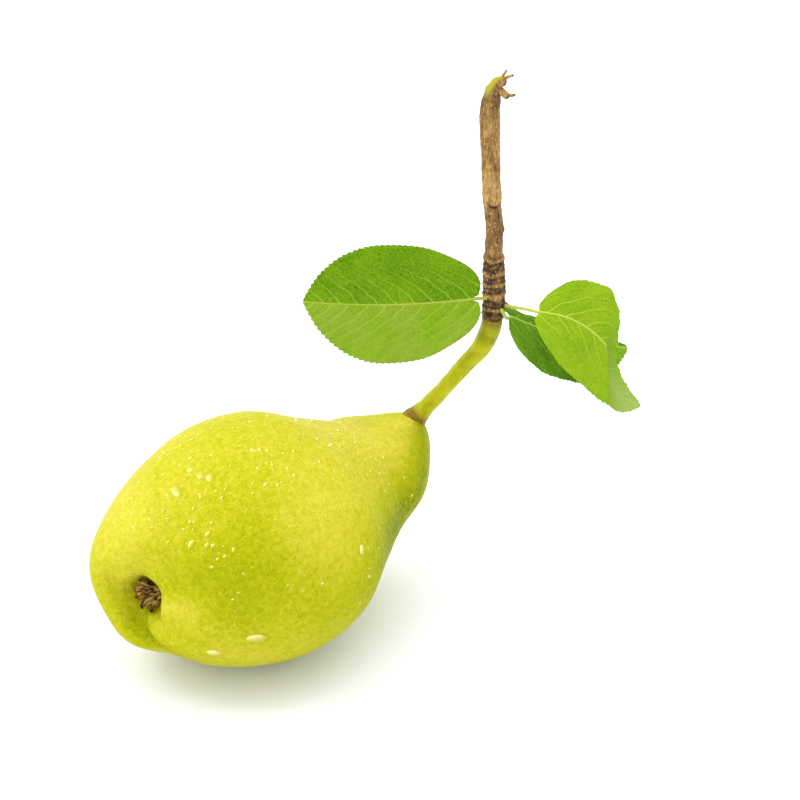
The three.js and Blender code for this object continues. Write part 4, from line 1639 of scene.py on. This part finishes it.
@dataclass
class WaterDrops:
    """Drops and droplets left on the skin after washing."""

    fruit: Fruit
    drops: Sequence[Drop] = (
        Drop(0.266, 84, 4.2, 2.5, 55), Drop(0.328, 83, 2.5, 1.9), Drop(0.323, 91, 2.1, 1.9),
        Drop(0.331, 96, 2.5, 2.3), Drop(0.355, 77, 1.3, 1.1), Drop(0.446, 99, 1.4, 1.3),
        Drop(0.457, 101, 1.4, 1.3), Drop(0.596, 107, 1.6, 1.0), Drop(0.779, 92, 1.3, 0.9),
        Drop(0.784, 102, 1.5, 1.1), Drop(0.613, 113, 1.3, 1.0), Drop(0.471, 121, 1.2, 1.0),
        Drop(0.411, 118, 1.6, 1.2), Drop(0.217, 118, 1.7, 1.3), Drop(0.18, 114, 2.6, 1.5, 10),
        Drop(0.203, 126, 1.4, 1.1), Drop(0.196, 123, 1.5, 1.2), Drop(0.535, 163, 3.0, 1.8, 80),
        Drop(0.284, 98, 1.0, 0.9), Drop(0.306, 109, 1.3, 0.8), Drop(0.249, 195, 5.4, 2.7, 8),
        Drop(0.18, 215, 4.0, 2.5, 15))
    droplets: int = 620
    droplet_size: Pair = (0.3, 1.05)
    droplet_reach: Pair = (0.16, 0.84)
    droplet_angle: float = 95.0
    droplet_spread: float = 38.0
    height: float = 0.17
    sunk: float = 0.05
    light: Vector = Vector((-0.54, -0.06, 0.82))

    def build(self) -> bpy.types.Object:
        """Sets the larger drops and scatters the small ones.

        Returns:
            The piece.
        """
        draw = random.Random(11)
        scattered = []
        for _ in range(self.droplets):
            least, most = self.droplet_size
            size = least + (most - least) * draw.random() ** 3
            share = draw.uniform(*self.droplet_reach)
            angle = draw.gauss(self.droplet_angle, self.droplet_spread)
            scattered.append(
                Drop(share, angle, size * draw.uniform(1, 1.4), size, draw.uniform(0, 180)))
        mesh = new_mesh()
        marks: list[float] = []
        for drops, segments in ((self.drops, 24), (scattered, 8)):
            dome = bmesh.new()
            bmesh.ops.create_uvsphere(
                dome, u_segments=segments, v_segments=max(segments // 2, 6), radius=0.5 * MM)
            pattern = bpy.data.meshes.new("dome")
            dome.to_mesh(pattern)
            dome.free()
            for drop in drops:
                seat = self._seat(drop)
                copy = pattern.copy()
                copy.transform(seat)
                mesh.from_mesh(copy)
                bpy.data.meshes.remove(copy)
                # Each vertex's lit mark grows towards the light across its drop, for the painted
                # highlight and shade
                aim = seat.to_3x3().inverted() @ self.light
                aim = Vector((aim.x, aim.y, 0)).normalized()
                marks += [0.5 + vertex.co.dot(aim) / MM for vertex in pattern.vertices]
            bpy.data.meshes.remove(pattern)
        lit = mesh.verts.layers.float.new("lit")
        for vertex, mark in zip(mesh.verts, marks):
            vertex[lit] = mark
        return finished(mesh, "water_drops", WaterFilm().material(), "fruit")

    def _seat(self, drop: Drop) -> Matrix:
        """Seats a drop with its lower part in the skin.

        Args:
            drop: The drop.

        Returns:
            What takes a ball 1 mm across to its place and size.
        """
        angle, step = math.radians(drop.angle), 0.004
        up = self.fruit.outward(drop.share, angle)
        along_it = self.fruit.skin(drop.share + step, angle) - self.fruit.skin(drop.share, angle)
        along_it = (along_it - up * along_it.dot(up)).normalized()
        seat = Matrix((along_it, up.cross(along_it), up)).transposed().to_4x4()
        size = Vector((drop.length, drop.width, self.height * (drop.length + drop.width)))
        spot = self.fruit.skin(drop.share, angle) - up * self.sunk * size.z
        turn = Matrix.Rotation(math.radians(drop.turn), 4, "Z")
        return Matrix.Translation(in_frame(spot)) @ seat @ turn @ Matrix.Diagonal((*size, 1.0))


# ---- Stage --------------------------------------------------------------------------------------


@dataclass
class Studio:
    """A pale floor, soft light from everywhere with a broad source above, and the camera."""

    floor_shade: str = "f5f7ff"
    floor_roughness: float = 0.9
    floor_reach: float = 6.0
    floor_drop: float = 0.02
    sky_strength: float = 1.15
    lamps: Sequence[tuple[float, float, Vector]] = (
        (1.6, 70.0, Vector((0.05, 0.3, 0.9))), (0.75, 60.0, Vector((-0.85, -0.05, 0.5))),
        (0.3, 12.0, Vector((-0.5, -0.1, 0.8))))
    focal_length: float = 120.0
    azimuth: float = -43.0
    elevation: float = 34.0
    distance: float = 715.0
    aim_right: float = 41.32
    aim_up: float = 37.92

    def build(self) -> None:
        """Sets up the floor, the light and the camera."""
        mesh = bmesh.new()
        bmesh.ops.create_grid(mesh, x_segments=1, y_segments=1, size=self.floor_reach)
        bmesh.ops.translate(mesh, verts=mesh.verts, vec=(0, 0, -self.floor_drop * MM))
        data = bpy.data.meshes.new("floor")
        mesh.to_mesh(data)
        mesh.free()
        data.materials.append(Shading("studio_floor").dressed({
            "Base Color": linear(self.floor_shade), "Roughness": self.floor_roughness,
            "Specular IOR Level": 0.0}))
        floor = bpy.data.objects.new("floor", data)
        bpy.context.scene.collection.objects.link(floor)

        world = bpy.data.worlds.new("soft_room")
        world.use_nodes = True
        backdrop = world.node_tree.nodes["Background"]
        backdrop.inputs["Color"].default_value = (1, 1, 1, 1)
        backdrop.inputs["Strength"].default_value = self.sky_strength
        bpy.context.scene.world = world

        a, e = math.radians(self.azimuth), math.radians(self.elevation)
        right = Vector((math.cos(a), math.sin(a), 0))
        away = Vector((-math.sin(a), math.cos(a), 0))
        back = Vector((math.sin(a) * math.cos(e), -math.cos(a) * math.cos(e), math.sin(e)))
        up = back.cross(right)

        for strength, spread, source in self.lamps:
            lamp = bpy.data.lights.new("lamp", "SUN")
            lamp.energy = strength
            lamp.angle = math.radians(spread)
            sun = bpy.data.objects.new("lamp", lamp)
            place = right * source.x + away * source.y + Vector((0, 0, source.z))
            sun.rotation_euler = place.to_track_quat("Z", "Y").to_euler()
            bpy.context.scene.collection.objects.link(sun)

        lens = bpy.data.cameras.new("camera")
        lens.lens = self.focal_length
        lens.clip_start = 0.01
        camera = bpy.data.objects.new("camera", lens)
        target = in_frame(right * self.aim_right + up * self.aim_up)
        turn = Matrix((right, up, back)).transposed().to_4x4()
        camera.matrix_world = Matrix.Translation(target + back * self.distance * MM) @ turn
        bpy.context.scene.collection.objects.link(camera)
        bpy.context.scene.camera = camera
        bpy.context.scene.view_settings.view_transform = "Standard"


def main() -> None:
    """Builds the stage and every piece in order."""
    logging.basicConfig(level=logging.INFO, format="%(name)s: %(message)s")
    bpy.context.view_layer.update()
    Studio().build()
    fruit = Fruit()
    fruit.build()
    Calyx(fruit).build()
    Stalk().build()
    Spur().build()
    for leaf in leaves():
        leaf.build()
    WaterDrops(fruit).build()


if __name__ == "__main__":
    main()
